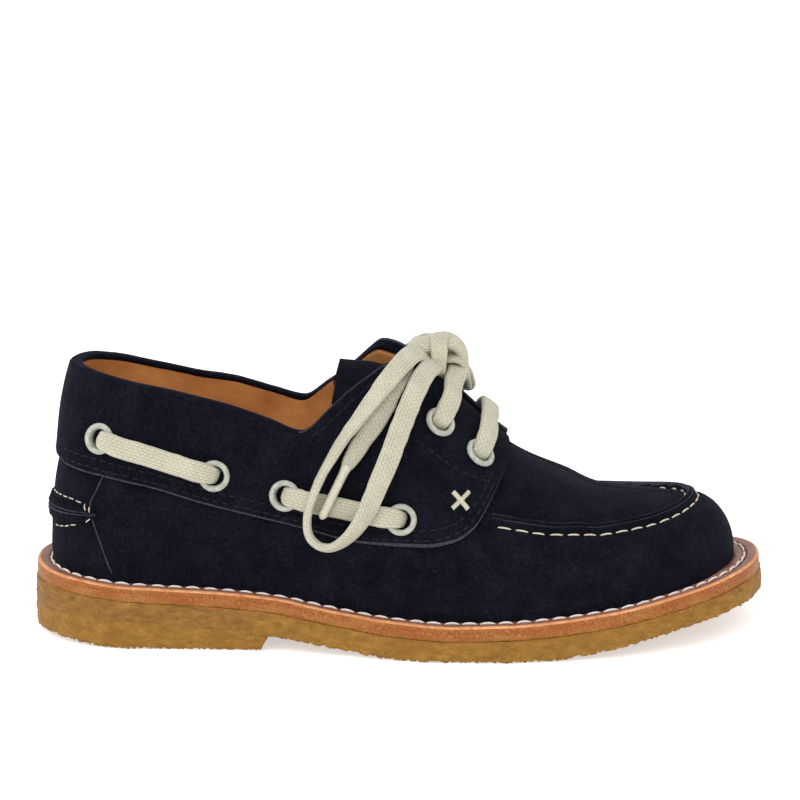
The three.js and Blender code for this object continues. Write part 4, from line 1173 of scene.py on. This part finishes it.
def midsole():
    """The reddish leather layer, with specks of the crepe's colour along its lower edge."""
    rows = [(12.0, midsole_low, 0.0), (12.0, midsole_top, 0.0)]
    rows += [(0.0, midsole_top, -drop) for drop in np.linspace(0, MIDSOLE_THICK - 0.2, 9)]
    rows += [(0.0, midsole_low, 0.0), (0.1, midsole_low, -GAP), (1.5, midsole_low, -GAP)]
    points = sole_section(LEATHER_INSET, rows)
    points += edge_normals(points) * leather_wall(points)[..., None]
    depth = midsole_top(points[..., 0]) - points[..., 2]
    bands = (depth + 0.75 * rough(points * [1, 1, 1.6], 2.6, 3, 34) > 2.15).astype(int)
    piece = loft("midsole_layer", points, [LEATHER_EDGE, CREPE], wrap_u=True, bands=bands)
    own(piece, "midsole_leather", "midsole")


BREAST_FOOT, BREAST_HEAD, BREAST_Z = -40.6, -37.8, 3.6
# Rings of a crepe layer by their share of the way from the spine to the rim, below and above the wall.
BOTTOM_RINGS = (0.0, 0.25, 0.5, 0.7, 0.84, 0.91, 0.945, 0.965, 0.98, 0.99)
WALL_RINGS = np.linspace(0.0, 1.0, 25) ** 1.15
TOP_RINGS = (0.985, 0.95, 0.8, 0.4, 0.0)
TUCK = 0.7


def crepe_layer(angles, low, high, tear, joined):
    """Rings of a crepe layer: out from its spine along the bottom, up the wall and back on top.

    tear is how ragged the bottom edge is at each x, from 0 to 1. joined is 1 where the wall draws in at
    its top to meet leather, and 0 where it meets crepe.
    """
    x, y = outline(angles, tuple(CREPE_INSET))
    spine_x = np.clip(x, -78, 62)
    spine = np.stack([spine_x, sole_middle(spine_x)], -1)
    rim = np.stack([x, y], -1)
    flats = [spine + (rim - spine) * share for share in BOTTOM_RINGS]
    rings = [np.concatenate([flat, low(flat[:, :1])], -1) for flat in flats]
    kinds = [(smooth(0.93, 1.0, s), smooth(0.6, 0.97, s), 1.0, 0.0) for s in BOTTOM_RINGS]
    for t in WALL_RINGS:
        rings.append(np.concatenate([rim, low(rim[:, :1]) * (1 - t) + high(rim[:, :1]) * t], -1))
        kinds.append((1 - smooth(0.0, 0.13, t), 1.0, 0.0, TUCK * smooth(0.82, 1.0, t)))
    flats = [spine + (rim - spine) * share for share in TOP_RINGS]
    rings += [np.concatenate([flat, high(flat[:, :1])], -1) for flat in flats]
    kinds += [(0.0, smooth(0.9, 1.0, s), 0.0, TUCK * smooth(0.9, 1.0, s)) for s in TOP_RINGS]
    points = np.stack(rings, 1)
    edge, at_wall, under, tuck = np.array(kinds).T
    torn = edge * tear(x)[:, None]
    out = 0.26 * rough(points, 5.0, 3, 41) + 0.16 * rough(points * [1, 1, 2.2], 1.5, 2, 44)
    out += 0.30 * smooth(0.55, 0.9, noise(points, 3.1, 43)) - 0.55 * np.abs(rough(points, 1.1, 2, 47)) * torn
    out -= tuck * joined
    level = unit(np.concatenate([rim - spine, np.zeros((len(rim), 1))], -1))
    points += level[:, None] * (out * at_wall)[..., None]
    tread = 0.45 * np.abs(rough(points, 3.0, 3, 51)) * under * tear(x)[:, None]
    points[..., 2] += tread + 1.15 * np.abs(rough(points, 1.2, 3, 52)) * torn
    points[..., 2] = np.maximum(points[..., 2], 0.0)
    return points


def outsole():
    """The crepe sheet that runs the whole length of the shoe, ragged where nothing is stuck below it."""

    def low(x):
        return crepe_under(x) - 0.4 * smooth(-44, -60, x)

    points = crepe_layer(round_turns(1500), low, crepe_top, lambda x: smooth(-41, -36, x), 1)
    x, z = points[..., 0], points[..., 2]
    at_heel = smooth(-36, -46, x) * smooth(0.0, 0.5, z - low(x))
    bands = np.where(at_heel + 0.35 * rough(points, 3.0, 2, 48) > 0.5, 1, 0)
    upper = z + 0.5 * rough(points * [1, 1, 1.6], 2.6, 3, 49) > crepe_top(x) - 0.25
    bands = np.where(upper, 2, bands)
    looks = [CREPE, HEEL_CREPE, LEATHER_EDGE]
    own(loft("crepe_sheet", points, looks, wrap_u=True, bands=bands), "crepe", "outsole")


def heel_lift():
    """The heel lift, cut off at its slanting breast."""
    turns = np.linspace(-np.pi, 0, 4000)
    cut = turns[np.searchsorted(outline(turns, tuple(CREPE_INSET))[0], BREAST_HEAD)]
    angles = np.linspace(cut, -np.pi, 420)
    angles = np.concatenate([angles, -angles[::-1][1:]])
    points = crepe_layer(
        angles,
        low=lambda x: 1.3 * smooth(-80, -104, x),
        high=lambda x: crepe_under(x) - 0.05,
        tear=np.ones_like,
        joined=0,
    )
    limit = BREAST_FOOT + (BREAST_HEAD - BREAST_FOOT) * np.clip(points[..., 2] / BREAST_Z, 0, 1)
    limit = limit + 0.5 * rough(points * [0, 1, 1], 2.2, 2, 61)
    points[..., 0] = np.minimum(points[..., 0], limit)
    own(loft("heel_block", points, [CREPE], caps=True), "crepe", "heel_lift")


def insole():
    """The lining sock: a thin tan sheet with a softly raised rim."""
    inset = np.array(FEATHER) + WALL + 0.7
    height = 3.6
    edge = ((0, 0.3), (0, 3.3), (0.5, 3.7), (3, height))
    points = sole_section(inset, [(extra, midsole_top, lift) for extra, lift in edge])
    x = np.clip(points[:, -1, 0], -80, 62)
    spine = np.stack([x, sole_middle(x), midsole_top(x) + height], -1)
    rings = list(points.swapaxes(0, 1))
    for share in (0.8, 0.6, 0.4, 0.2, 0.0):
        ring = spine + (points[:, -1] - spine) * share
        ring[:, 2] = midsole_top(ring[:, 0]) + height + 0.15 * rough(ring, 16, 2, 71)
        rings.append(ring)
    piece = loft("insole_sock", np.stack(rings, 1), [LINING], wrap_u=True, wrap_v=False)
    own(piece, LINING_SLOT, "insole")


# ---------------------------------------------------------------- stitches


def thread(name, starts, ends, normals, radius, arch, sink, material):
    """A row of stitches as one mesh: each rises out of the leather, runs along it and goes back in."""
    sides, steps = 8, 9
    t = np.linspace(0, 1, steps)
    turn = np.linspace(0, 2 * np.pi, sides, endpoint=False)
    run = ends - starts
    out = unit(normals - unit(run) * np.sum(unit(run) * normals, -1)[:, None])
    across = np.cross(unit(run), out)
    height = -sink + (arch + sink) * np.sin(np.pi * t) ** 0.55
    thick = radius * (0.55 + 0.45 * np.sin(np.pi * t) ** 0.5)
    place = starts[:, None] + run[:, None] * t[None, :, None] + out[:, None] * height[None, :, None]
    points = (
        place[:, :, None]
        + across[:, None, None] * (np.cos(turn)[None, None, :] * thick[None, :, None])[..., None]
        + out[:, None, None] * (np.sin(turn)[None, None, :] * thick[None, :, None])[..., None]
    )
    count = len(starts)
    i, j = np.meshgrid(np.arange(steps - 1) * sides, np.arange(sides), indexing="ij")
    after = (j + 1) % sides
    one = np.stack([i + j, i + after, i + sides + after, i + sides + j], -1).reshape(-1, 4)
    faces = (one[None] + (np.arange(count) * steps * sides)[:, None, None]).reshape(-1, 4).tolist()
    for k in range(count):
        base = k * steps * sides
        faces.append(list(range(base, base + sides))[::-1])
        faces.append(list(range(base + (steps - 1) * sides, base + steps * sides)))
    mesh = bpy.data.meshes.new(name)
    mesh.from_pydata((points.reshape(-1, 3) * MM).tolist(), [], faces)
    mesh.materials.append(material)
    mesh.polygons.foreach_set("use_smooth", np.ones(len(mesh.polygons), bool))
    return placed(name, mesh)


def stitch_row(name, line, pitch, stitch, size, look, seed=5, slack=0.12, closed=False):
    """Stitches along a line of points and normals. size is the thread's radius, arch and depth."""
    points, normals = line
    gone = np.concatenate([[0], np.cumsum(np.linalg.norm(np.diff(points, axis=0), axis=1))])
    length = gone[-1]
    if closed:
        pitch = length / round(length / pitch)
        length = length + pitch

    def place_at(distance):
        p = np.stack([np.interp(distance, gone, points[:, c]) for c in range(3)], -1)
        n = np.stack([np.interp(distance, gone, normals[:, c]) for c in range(3)], -1)
        return p, unit(n)

    rng = np.random.default_rng(seed)
    starts = np.arange(0.4 * pitch, length - stitch, pitch)
    starts = starts + rng.uniform(-slack, slack, len(starts))
    ends = starts + stitch * rng.uniform(0.93, 1.05, len(starts))
    a, normal_a = place_at(starts)
    b, normal_b = place_at(ends)
    wobble = rng.uniform(-0.08, 0.08, (len(starts), 1)) * np.cross(unit(b - a), normal_a)
    row = thread(name, a + wobble, b + wobble, unit(normal_a + normal_b), *size, look)
    own(row, SUEDE_SLOT if look is NAVY_THREAD else COTTON_SLOT)


def welt_stitches():
    x, y = outline(round_turns(2400, closed=True), (4.0, 4.05, 4.3))
    points = np.stack([x, y, welt_top(x) - 0.15], -1)
    upright = np.tile([0.0, 0.0, 1.0], (len(points), 1))
    stitch_row("welt_stitches", (points, upright), 5.1, 4.7, (0.38, 0.16, 0.4), WHITE_THREAD, closed=True)


def seam_line(distance):
    """A line beside the apron seam, that many millimetres outside it."""
    turns = np.radians(np.linspace(-82, 82, 1200))
    rise = apron_rise(np.degrees(np.abs(turns)))
    for _ in range(12):
        rise = rise - (distance - apron_distance(turns, rise)) / 75
    points, normals = vamp_surface(turns, rise)
    shown = points[:, 0] > SEAM_FROM_X
    return points[shown], normals[shown]


def apron_stitches():
    stitch_row("apron_stitches", seam_line(2.5), 5.1, 4.3, (0.27, 0.3, 0.3), ECRU_THREAD, seed=8)
    stitch_row("apron_inner_stitches", seam_line(-1.75), 5.1, 2.8, (0.24, 0.2, 0.3), ECRU_THREAD, seed=9)


PANEL_FRONT_STITCHES = [(4.5, 61.5), (9, 58), (14, 54.4), (20, 50.9), (27, 48.1)]
PANEL_FACING_STITCHES = [(-26.0, 60.6), (-21, 64.6), (-15.6, 69.6), (-10.4, 74.2), (-5.6, 77.6)]


def panel_stitches():
    """Tonal stitches on the panel: two rows along its lower edge, one in front and one at the facing."""
    lower = [(x, float(panel_low(x))) for x in (-97, -84, -70, -56, -42, -28, -14, 0, 10, 18, 23.5, 27.5)]
    rows = {
        "low": [(x - 0.4, z + 1.9) for x, z in lower],
        "high": [(x - 0.8, z + 4.6) for x, z in lower],
        "front": PANEL_FRONT_STITCHES,
        "facing": PANEL_FACING_STITCHES,
    }
    for name, side in SIDES:
        for seed, (row, spots) in enumerate(rows.items(), 21):
            line = spline([(x, 0, z) for x, z in spots], 0.8)
            place = on_panel(line[:, 0], line[:, 2], side)
            size = (0.25, 0.06, 0.3)
            stitch_row(f"panel_stitches_{name}_{row}", place, 3.0, 2.3, size, NAVY_THREAD, seed, slack=0.15)


# ---------------------------------------------------------------- the upper


topline = {side: curve(TOPLINE, name) for name, side in SIDES}
throat_panel, throat_vamp = curve(THROAT, "panel"), curve(THROAT, "vamp")
# The round of the V's corner, how much lower the rolled rim is at the heel, and how much higher the
# medial rim is beside it.
CORNER, ROLL, FAR_RISE = 3.5, 1.0, 1.3
FAR_OFF = 50


def past_opening(points, angle, half_gap, margin, wall):
    """True above the topline or inside the throat, with the corner between them rounded off.

    At the heel it is lower by the height of the rolled edge. wall is how far inside the shoe's surface the
    points lie, so that edges beside the throat are cut square.
    """
    x, y, z = (points[..., k] for k in range(3))
    rolled = ROLL * smooth(-46, -78, x) - FAR_RISE * smooth(-62, -46, x) * smooth(-18, -26, x) * (angle > 0)
    below = np.where(angle < 0, topline[LATERAL](x), topline[MEDIAL](x)) - z
    below = np.where(x < 8, below, FAR_OFF)
    beside = np.abs(y - last_middle(x)) - half_gap(x) + 12 * smooth(-18, -30, x) + wall * smooth(-34, -26, x)
    beside = np.where((z > 45) & (x > -40), beside, FAR_OFF)
    blend = np.maximum(CORNER - np.abs(below - beside), 0) / CORNER
    return np.minimum(below, beside) - blend**2 * CORNER / 4 < margin + rolled


def above_vamp(margin=0.0, wall=0.0):
    """A test for points past the upper edge of the vamp and quarters."""

    def test(points, angle):
        return past_opening(points, angle, throat_vamp, margin, wall) & (points[..., 0] < 33)

    return test


def above_panel(margin=0.0, wall=0.0):
    """A test for points past the upper edge of the collar panel, or in front of its round corner."""

    def test(points, angle):
        x, z = points[..., 0], points[..., 2]
        in_front = (z > panel_front(x)) & (x > 28)
        return past_opening(points, angle, throat_panel, margin, wall) | in_front

    return test


def all_turns(count):
    """Angles once round the last."""
    return np.linspace(-np.pi, np.pi, count, endpoint=False) + 1e-6


def hole_cells(points, side_of, radius):
    """The quads of a grid that lie inside an eyelet's hole."""
    middle = (points[:-1, :-1] + points[1:, 1:]) / 2
    side = (side_of[:-1] + side_of[1:])[:, None] / 2
    cut = np.zeros(middle.shape[:2], bool)
    for name in EYELETS:
        for which in (LATERAL, MEDIAL):
            centre, normal = eyelet_frame(name, which)
            away = middle - centre
            deep = np.sum(away * normal, -1)
            flat = np.linalg.norm(away - deep[..., None] * normal, axis=-1)
            cut |= (flat < radius) & (np.abs(deep) < 7) & (np.sign(side) == which)
    return cut


def plug_depth(angle, rise):
    """How much deeper the inside of the upper lies under the sunken plug of the moccasin toe."""
    near = smooth(6.0, 3.0, apron_distance(angle, rise))
    return -2.5 * near * smooth(16, 24, last_point(angle, rise, 0.0)[..., 0])


def vamp():
    """The suede of the vamp and quarters, from under the feather line to the topline and throat."""
    angles = all_turns(760)
    top = np.minimum(rise_where(angles, 0.02, 1.0, above_vamp(0.7), 0.0), 0.99995)
    seam = apron_rise(np.degrees(np.abs(angles)))
    has_seam = seam < top - 0.09
    seam = np.where(has_seam, seam, top * 0.6)
    half = np.where(has_seam, 0.075, 0.05)
    half = np.minimum(half, (top - seam) * 0.75)
    low = np.linspace(0, 1, 24)
    middle = np.linspace(-1, 1, 46)
    high = np.linspace(0, 1, 22)
    rises = np.concatenate(
        [
            (seam - half)[:, None] * low[None, :-1],
            seam[:, None] + half[:, None] * middle[None, :-1],
            (seam + half)[:, None] + (top - seam - half)[:, None] * high[None, :],
        ],
        1,
    )
    grid = np.broadcast_to(angles[:, None], rises.shape)
    outer, normal = vamp_surface(grid, rises)
    tucked = outer[:, :1] - [0, 0, 1.6]
    sunk = plug_depth(grid, rises)
    inner = last_point(grid[:, ::-6], rises[:, ::-6], sunk[:, ::-6] - 1.0)
    low_in = last_point(grid[:, :1], rises[:, :1], -1.0) - [0, 0, 1.6]
    rings = np.concatenate([tucked, outer, inner, low_in], 1)
    distance = apron_distance(grid, rises)
    cut = ((distance > -1.25) & (distance < -0.8)) | ((distance > 0.2) & (distance < 0.6))
    bands = np.zeros(rings.shape[:2], int)
    bands[:, 1 : outer.shape[1] + 1] = cut & (outer[..., 0] > SEAM_FROM_X)
    bands[:, outer.shape[1]] = 1
    own(loft("suede_upper", rings, [SUEDE, SUEDE_EDGE], wrap_u=True, bands=bands), SUEDE_SLOT, "upper")


def lining():
    """The tan lining inside the upper."""
    angles = all_turns(640)
    top = np.minimum(rise_where(angles, 0.02, 1.0, above_vamp(0.9, 1.5), -WALL), 0.99995)
    share = np.linspace(0, 1, 46)
    rises = top[:, None] * share[None, :]
    grid = np.broadcast_to(angles[:, None], rises.shape)
    sunk = plug_depth(grid, rises)
    outer = last_point(grid[:, ::5], rises[:, ::5], sunk[:, ::5] - 1.2)
    inner = last_point(grid, rises, sunk - WALL)
    soft = 0.25 * rough(inner, 15, 2, 81) * smooth(1.0, 0.9, share)
    inner = inner + last_normal(grid, rises, -WALL) * soft[..., None]
    rings = np.concatenate([outer, inner[:, ::-1]], 1)
    own(loft("lining_leather", rings, [LINING], wrap_u=True), LINING_SLOT)


def panel_turns():
    """Angles of the panel from its lateral front corner round the heel to the medial one."""
    offset = GAP + PANEL_THICK
    near_tip = PANEL_TIP_X - np.linspace(0, 1, 90) ** 2 * 60
    turns = []
    for side in (LATERAL, MEDIAL):
        angle, _ = last_at(near_tip, np.full(near_tip.shape, 54.8), side, offset)
        turns.append(np.abs(angle))
    back, back_medial = (np.linspace(turn[-1], np.pi, 300)[1:] for turn in turns)
    return np.concatenate([-turns[0], -back, back_medial[-2::-1], turns[1][::-1]])


def collar_rim(angles, edge, out):
    """Rings of the turned edge: over the top of the wall and a little way down the inside."""
    depth = -WALL - 0.3
    top_in = rise_where(angles, 0.03, 0.999, above_panel(wall=1.7), -WALL)
    inside = last_point(angles, top_in, depth)
    down = unit(last_point(angles, top_in - 0.01, depth) - inside)
    wide = np.linalg.norm(inside - edge, axis=-1)[:, None]
    rolled = smooth(-25, -31, edge[:, 0])[:, None]
    turned = 0.5 + 0.85 * rolled
    rings = []
    for share in np.linspace(0, 1, 10)[1:]:
        arch = 0.28 * wide * math.sqrt(share * (1 - share)) * (0.15 + 0.85 * rolled)
        rings.append(edge + (inside - edge) * share - down * arch)
    for share in (0.35, 0.7, 0.92, 1.0):
        rings.append(inside + down * turned * share + out * (0.25 * smooth(0.8, 1.0, share)))
    rings.append(inside + down * turned + out * 1.1)
    rim = np.stack(rings, 1)
    return rim + 0.10 * rough(rim, 3.0, 2, 91)[..., None] * out[:, None]


def collar_panel():
    """The collar panel laid over the upper, with a pale cut edge below and a rolled edge above."""
    offset = GAP + PANEL_THICK
    angles = panel_turns()
    low = rise_where(angles, 0.03, 0.97, lambda p, _: p[..., 2] > panel_low(p[..., 0]), offset)
    top = np.maximum(rise_where(angles, 0.03, 0.999, above_panel(), offset), low + 0.001)
    share = np.linspace(0, 1, 68)
    rises = low[:, None] + (top - low)[:, None] * share[None, :]
    grid = np.broadcast_to(angles[:, None], rises.shape)
    outer, normal = panel_surface(grid, rises)
    edge = share * (top - low)[:, None] * 60
    rounding = 0.32 * np.exp(-((edge / 0.35) ** 2))
    outer = outer - normal * rounding[..., None]
    rim = collar_rim(angles, outer[:, -1], normal[:, -1])
    back_rise = rises[:, ::-6]
    back = last_point(np.broadcast_to(angles[:, None], back_rise.shape), back_rise, GAP * 0.4)
    rings = np.concatenate([outer, rim, back], 1)
    cells = hole_cells(rings, angles, 3.2)
    skip = np.concatenate([cells, np.zeros((len(angles) - 1, 1), bool)], 1)
    bands = np.zeros((len(angles) - 1, rings.shape[1]), int)
    bands[:, [0, -1]] = 1
    at_facing = outer[:-1, -1, 0] > -28.6
    bands[:, outer.shape[1] - 1 : outer.shape[1] + 1] = at_facing[:, None]
    own(loft("collar_band", rings, [SUEDE, SUEDE_EDGE], bands=bands, skip=skip), SUEDE_SLOT, "collar_panel")


HEEL_SEAM = table(
    "x top bottom",
    (-130, 39.6, 32.8), (-101, 39.6, 32.8), (-96, 39.4, 34.0), (-90, 39.0, 35.6), (-87, 38.2, 36.6),
)


def heel_seam():
    """The raised seam round the heel: two cut edges standing up together."""
    x = np.linspace(-87.4, -96, 60)
    lateral, medial = (last_at(x, 37.0, side, 0.0)[0] for side in (LATERAL, MEDIAL))
    lateral_back = np.linspace(lateral[-1], -np.pi, 70)[1:]
    medial_back = np.linspace(np.pi, medial[-1], 70)[1:]
    around = np.concatenate([lateral, lateral_back, medial_back, medial[::-1]])
    base = last_point(around, np.full(around.shape, 0.1), 0.0)
    top, bottom = curve(HEEL_SEAM, "top")(base[:, 0]), curve(HEEL_SEAM, "bottom")(base[:, 0])
    tops = rise_where(around, 0.01, 0.6, lambda p, _: p[..., 2] > top, 0.0)
    lows = rise_where(around, 0.01, 0.6, lambda p, _: p[..., 2] > bottom, 0.0)
    across = np.linspace(0, 1, 31)
    rises = lows[:, None] + (tops - lows)[:, None] * across[None, :]
    v = across[None, :] * 2 - 1
    body = np.sqrt(np.clip(1 - np.abs(v) ** 3.2, 0, 1))
    groove = -0.55 * np.exp(-(((v - 0.15) / 0.10) ** 2)) + 0.25 * np.exp(-(((v - 0.32) / 0.08) ** 2))
    groove += 0.18 * np.exp(-(((v + 0.03) / 0.08) ** 2)) - 0.35 * np.exp(-(((v + 0.62) / 0.12) ** 2))
    grid = np.broadcast_to(around[:, None], rises.shape)
    surface, normal = vamp_surface(grid, rises)
    ends = smooth(0, 8, np.minimum(np.arange(len(around)), np.arange(len(around))[::-1]))[:, None]
    lift = (1.1 * body + groove * body + 0.22 * rough(surface, 1.8, 3, 95)) * (0.35 + 0.65 * ends)
    outer = surface + normal * lift[..., None]
    inner = surface - normal * 0.5
    rings = np.concatenate([outer, inner[:, ::-5]], 1)
    bands = np.zeros(rings.shape[1], int)
    bands[[14, 15, 19, 20]] = 1
    own(loft("heel_ridge", rings, [SUEDE, SUEDE_EDGE], caps=True, bands=bands), SUEDE_SLOT, "heel_seam")


HEEL_STITCHES = {
    "upper": [(-101.5, 41.0), (-98.5, 41.1), (-95, 41.0), (-90.2, 40.2)],
    "lower": [(-101.0, 31.6), (-98.5, 31.9), (-96, 33.0), (-92.0, 34.0)],
}
# Where each of the short stitches across the seam's end starts and stops.
HEEL_TACKS = [
    ((-90.6, 40.4), (-90.2, 38.2)),
    ((-89.3, 39.8), (-88.9, 37.6)),
    ((-88.8, 36.4), (-90.4, 35.0)),
]
BACKSTAY = [
    (-84.6, 50.6), (-87.2, 45.0), (-89.2, 40.6), (-88.6, 36), (-87.0, 31), (-85.1, 26), (-82.8, 20.8),
]


def vamp_line(spots, side):
    """Points and normals on the vamp's surface along a smooth line through x, z spots."""
    line = spline([(x, 0, z) for x, z in spots], 0.5)
    return on_vamp(line[:, 0], line[:, 2], side)


def heel_details():
    """Stitches above and below the heel seam, and the backstay's edge down each side."""
    for name, side in SIDES:
        for seed, (row, spots) in enumerate(HEEL_STITCHES.items(), 61):
            place = vamp_line(spots, side)
            stitch_row(f"heel_stitches_{name}_{row}", place, 3.2, 2.7, (0.18, 0.16, 0.3), ECRU_THREAD, seed)
        starts = np.stack([on_vamp(*a, side, 0.6)[0] for a, _ in HEEL_TACKS])
        ends = np.stack([on_vamp(*b, side, 0.6)[0] for _, b in HEEL_TACKS])
        normals = np.stack([on_vamp(*a, side)[1] for a, _ in HEEL_TACKS])
        own(thread(f"heel_tacks_{name}", starts, ends, normals, 0.18, 0.3, 0.3, ECRU_THREAD), COTTON_SLOT)
        own(raised_edge(f"backstay_edge_{name}", *vamp_line(BACKSTAY, side)), SUEDE_SLOT)


def raised_edge(name, points, normals):
    """A thin cut edge that stands up along a line of the surface."""
    radius, lift = 0.22, 0.02
    across = np.cross(unit(np.gradient(points, axis=0)), normals)
    turn = np.linspace(0, 2 * np.pi, 8, endpoint=False)
    r = radius * (1 + 0.35 * rough(points, 1.2, 2, 97))[:, None]
    tube = swept(points + normals * lift, across, normals, np.cos(turn) * r, np.sin(turn) * r)
    return loft(name, tube, [SUEDE_EDGE], caps=True)


TONGUE = table(
    "x ridge half drop",
    (-17.5, 78.8, 16.0, 13.0), (-9, 78.0, 16.0, 11.0), (0, 75.0, 16.0, 8.6), (10, 69.6, 15.6, 6.6),
    (20, 62.0, 15.0, 5.4), (28, 55.4, 14.0, 4.6), (36, 50.2, 13.0, 4.0),
)
TONGUE_THICK, TONGUE_SWEEP = 2.2, 3
# The rounded side edge: how far below the top face, and how far out as a share of the half width.
TONGUE_LIP = ((0.25, -0.012), (1.1, -0.02), (1.95, -0.012))


def tongue():
    """The tongue: suede above, tan lining below, with a cut edge."""
    ridge, half, drop = (curve(TONGUE, name) for name in ("ridge", "half", "drop"))
    x = np.linspace(-17.5, 36, 150)[:, None]
    turn = np.linspace(-1, 1, 70)[None, :]
    corner = np.clip((np.abs(turn) - 0.86) / 0.14, 0, 1) ** 2 * 2.2
    sweep = x - TONGUE_SWEEP * turn**2 + corner * smooth(-6, -17.5, x)

    def sheet(lower, inset):
        share = turn * (1 - inset)
        z = ridge(x) - lower - drop(x) * share**2
        y = last_middle(x) + half(x) * share
        return np.stack(np.broadcast_arrays(sweep, y, z), -1)

    top = sheet(0, 0.0)
    top[..., 2] += 0.22 * rough(top, 14, 2, 101)
    under = sheet(TONGUE_THICK, 0.0)
    medial_lip = [sheet(*lip)[:, -1:] for lip in TONGUE_LIP]
    lateral_lip = [sheet(*lip)[:, :1] for lip in TONGUE_LIP[::-1]]
    rings = np.concatenate([top, *medial_lip, under[:, ::-1], *lateral_lip], 1)
    bands = np.array([0] * 69 + [1] * 4 + [2] * 69 + [1] * 4)
    piece = loft("tongue_sheet", rings, [SUEDE, SUEDE_EDGE, LINING], caps=True, bands=bands)
    own(piece, SUEDE_SLOT, "tongue")


# ---------------------------------------------------------------- eyelets and small marks


# The ring's section: how far from the middle of the hole, and how high.
EYELET_RADIUS, EYELET_HEIGHT = np.array([
    (2.75, -2.2), (3.1, -2.2), (3.3, -0.4), (4.15, -0.15), (4.46, 0.05), (4.56, 0.35), (4.46, 0.68),
    (4.2, 0.98), (3.85, 1.16), (3.5, 1.18), (3.2, 1.02), (2.98, 0.7), (2.86, 0.3), (2.82, -0.4),
]).T


def eyelet(piece, name, side):
    """An enamelled ring: a rolled flange with a barrel through the leather."""
    centre, normal = eyelet_frame(name, side)
    across = unit(np.cross(normal, [0.0, 0.0, 1.0]))
    up = np.cross(normal, across)
    turn = np.linspace(0, 2 * np.pi, 72, endpoint=False)[:, None]
    height = EYELET_HEIGHT + 0.55
    points = (
        centre
        + across * (np.cos(turn) * EYELET_RADIUS)[..., None]
        + up * (np.sin(turn) * EYELET_RADIUS)[..., None]
        + normal * height[:, None]
    )
    return loft(piece, points, [ENAMEL], wrap_u=True)


def eyelets():
    for side_name, side in SIDES:
        for name in EYELETS:
            ring = eyelet(f"ring_{side_name}_{name}", name, side)
            own(ring, "eyelet_metal", f"eyelet_{side_name}_{name}")


def cross_tack():
    """A plain crossed tack of ecru thread below the front eyelets, one on each side."""
    middle_x, middle_z, half_arm, half_stitch, count = 17.3, 44.9, 3.0, 0.7, 15
    along = np.linspace(-half_arm, half_arm, count)
    arms = [
        (along * math.cos(lean), along * math.sin(lean), -math.sin(lean), math.cos(lean))
        for lean in (math.radians(40), math.radians(-50))
    ]
    x, z, across_x, across_z = (np.concatenate([arm[k] * np.ones(count) for arm in arms]) for k in range(4))
    for name, side in SIDES:
        starts, ends = (
            on_panel(middle_x + x + half * across_x, middle_z + z + half * across_z, side)
            for half in (-half_stitch, half_stitch)
        )
        tack = thread(f"cross_tack_{name}", starts[0], ends[0], starts[1], 0.24, 0.4, 0.2, ECRU_THREAD)
        own(tack, COTTON_SLOT)


def floor():
    mesh = bpy.data.meshes.new("floor")
    corners = [(-6.0, -6.0, 0), (6.0, -6.0, 0), (6.0, 6.0, 0), (-6.0, 6.0, 0)]
    mesh.from_pydata(corners, [], [(0, 1, 2, 3)])
    mesh.materials.append(floor_look())
    obj = placed("floor", mesh)


add_lights()
free_laces()
knot()
held_laces()
eyelets()
welt()
midsole()
outsole()
heel_lift()
insole()
vamp()
lining()
collar_panel()
heel_seam()
tongue()
welt_stitches()
apron_stitches()
panel_stitches()
heel_details()
cross_tack()
floor()

bpy.context.view_layer.update()
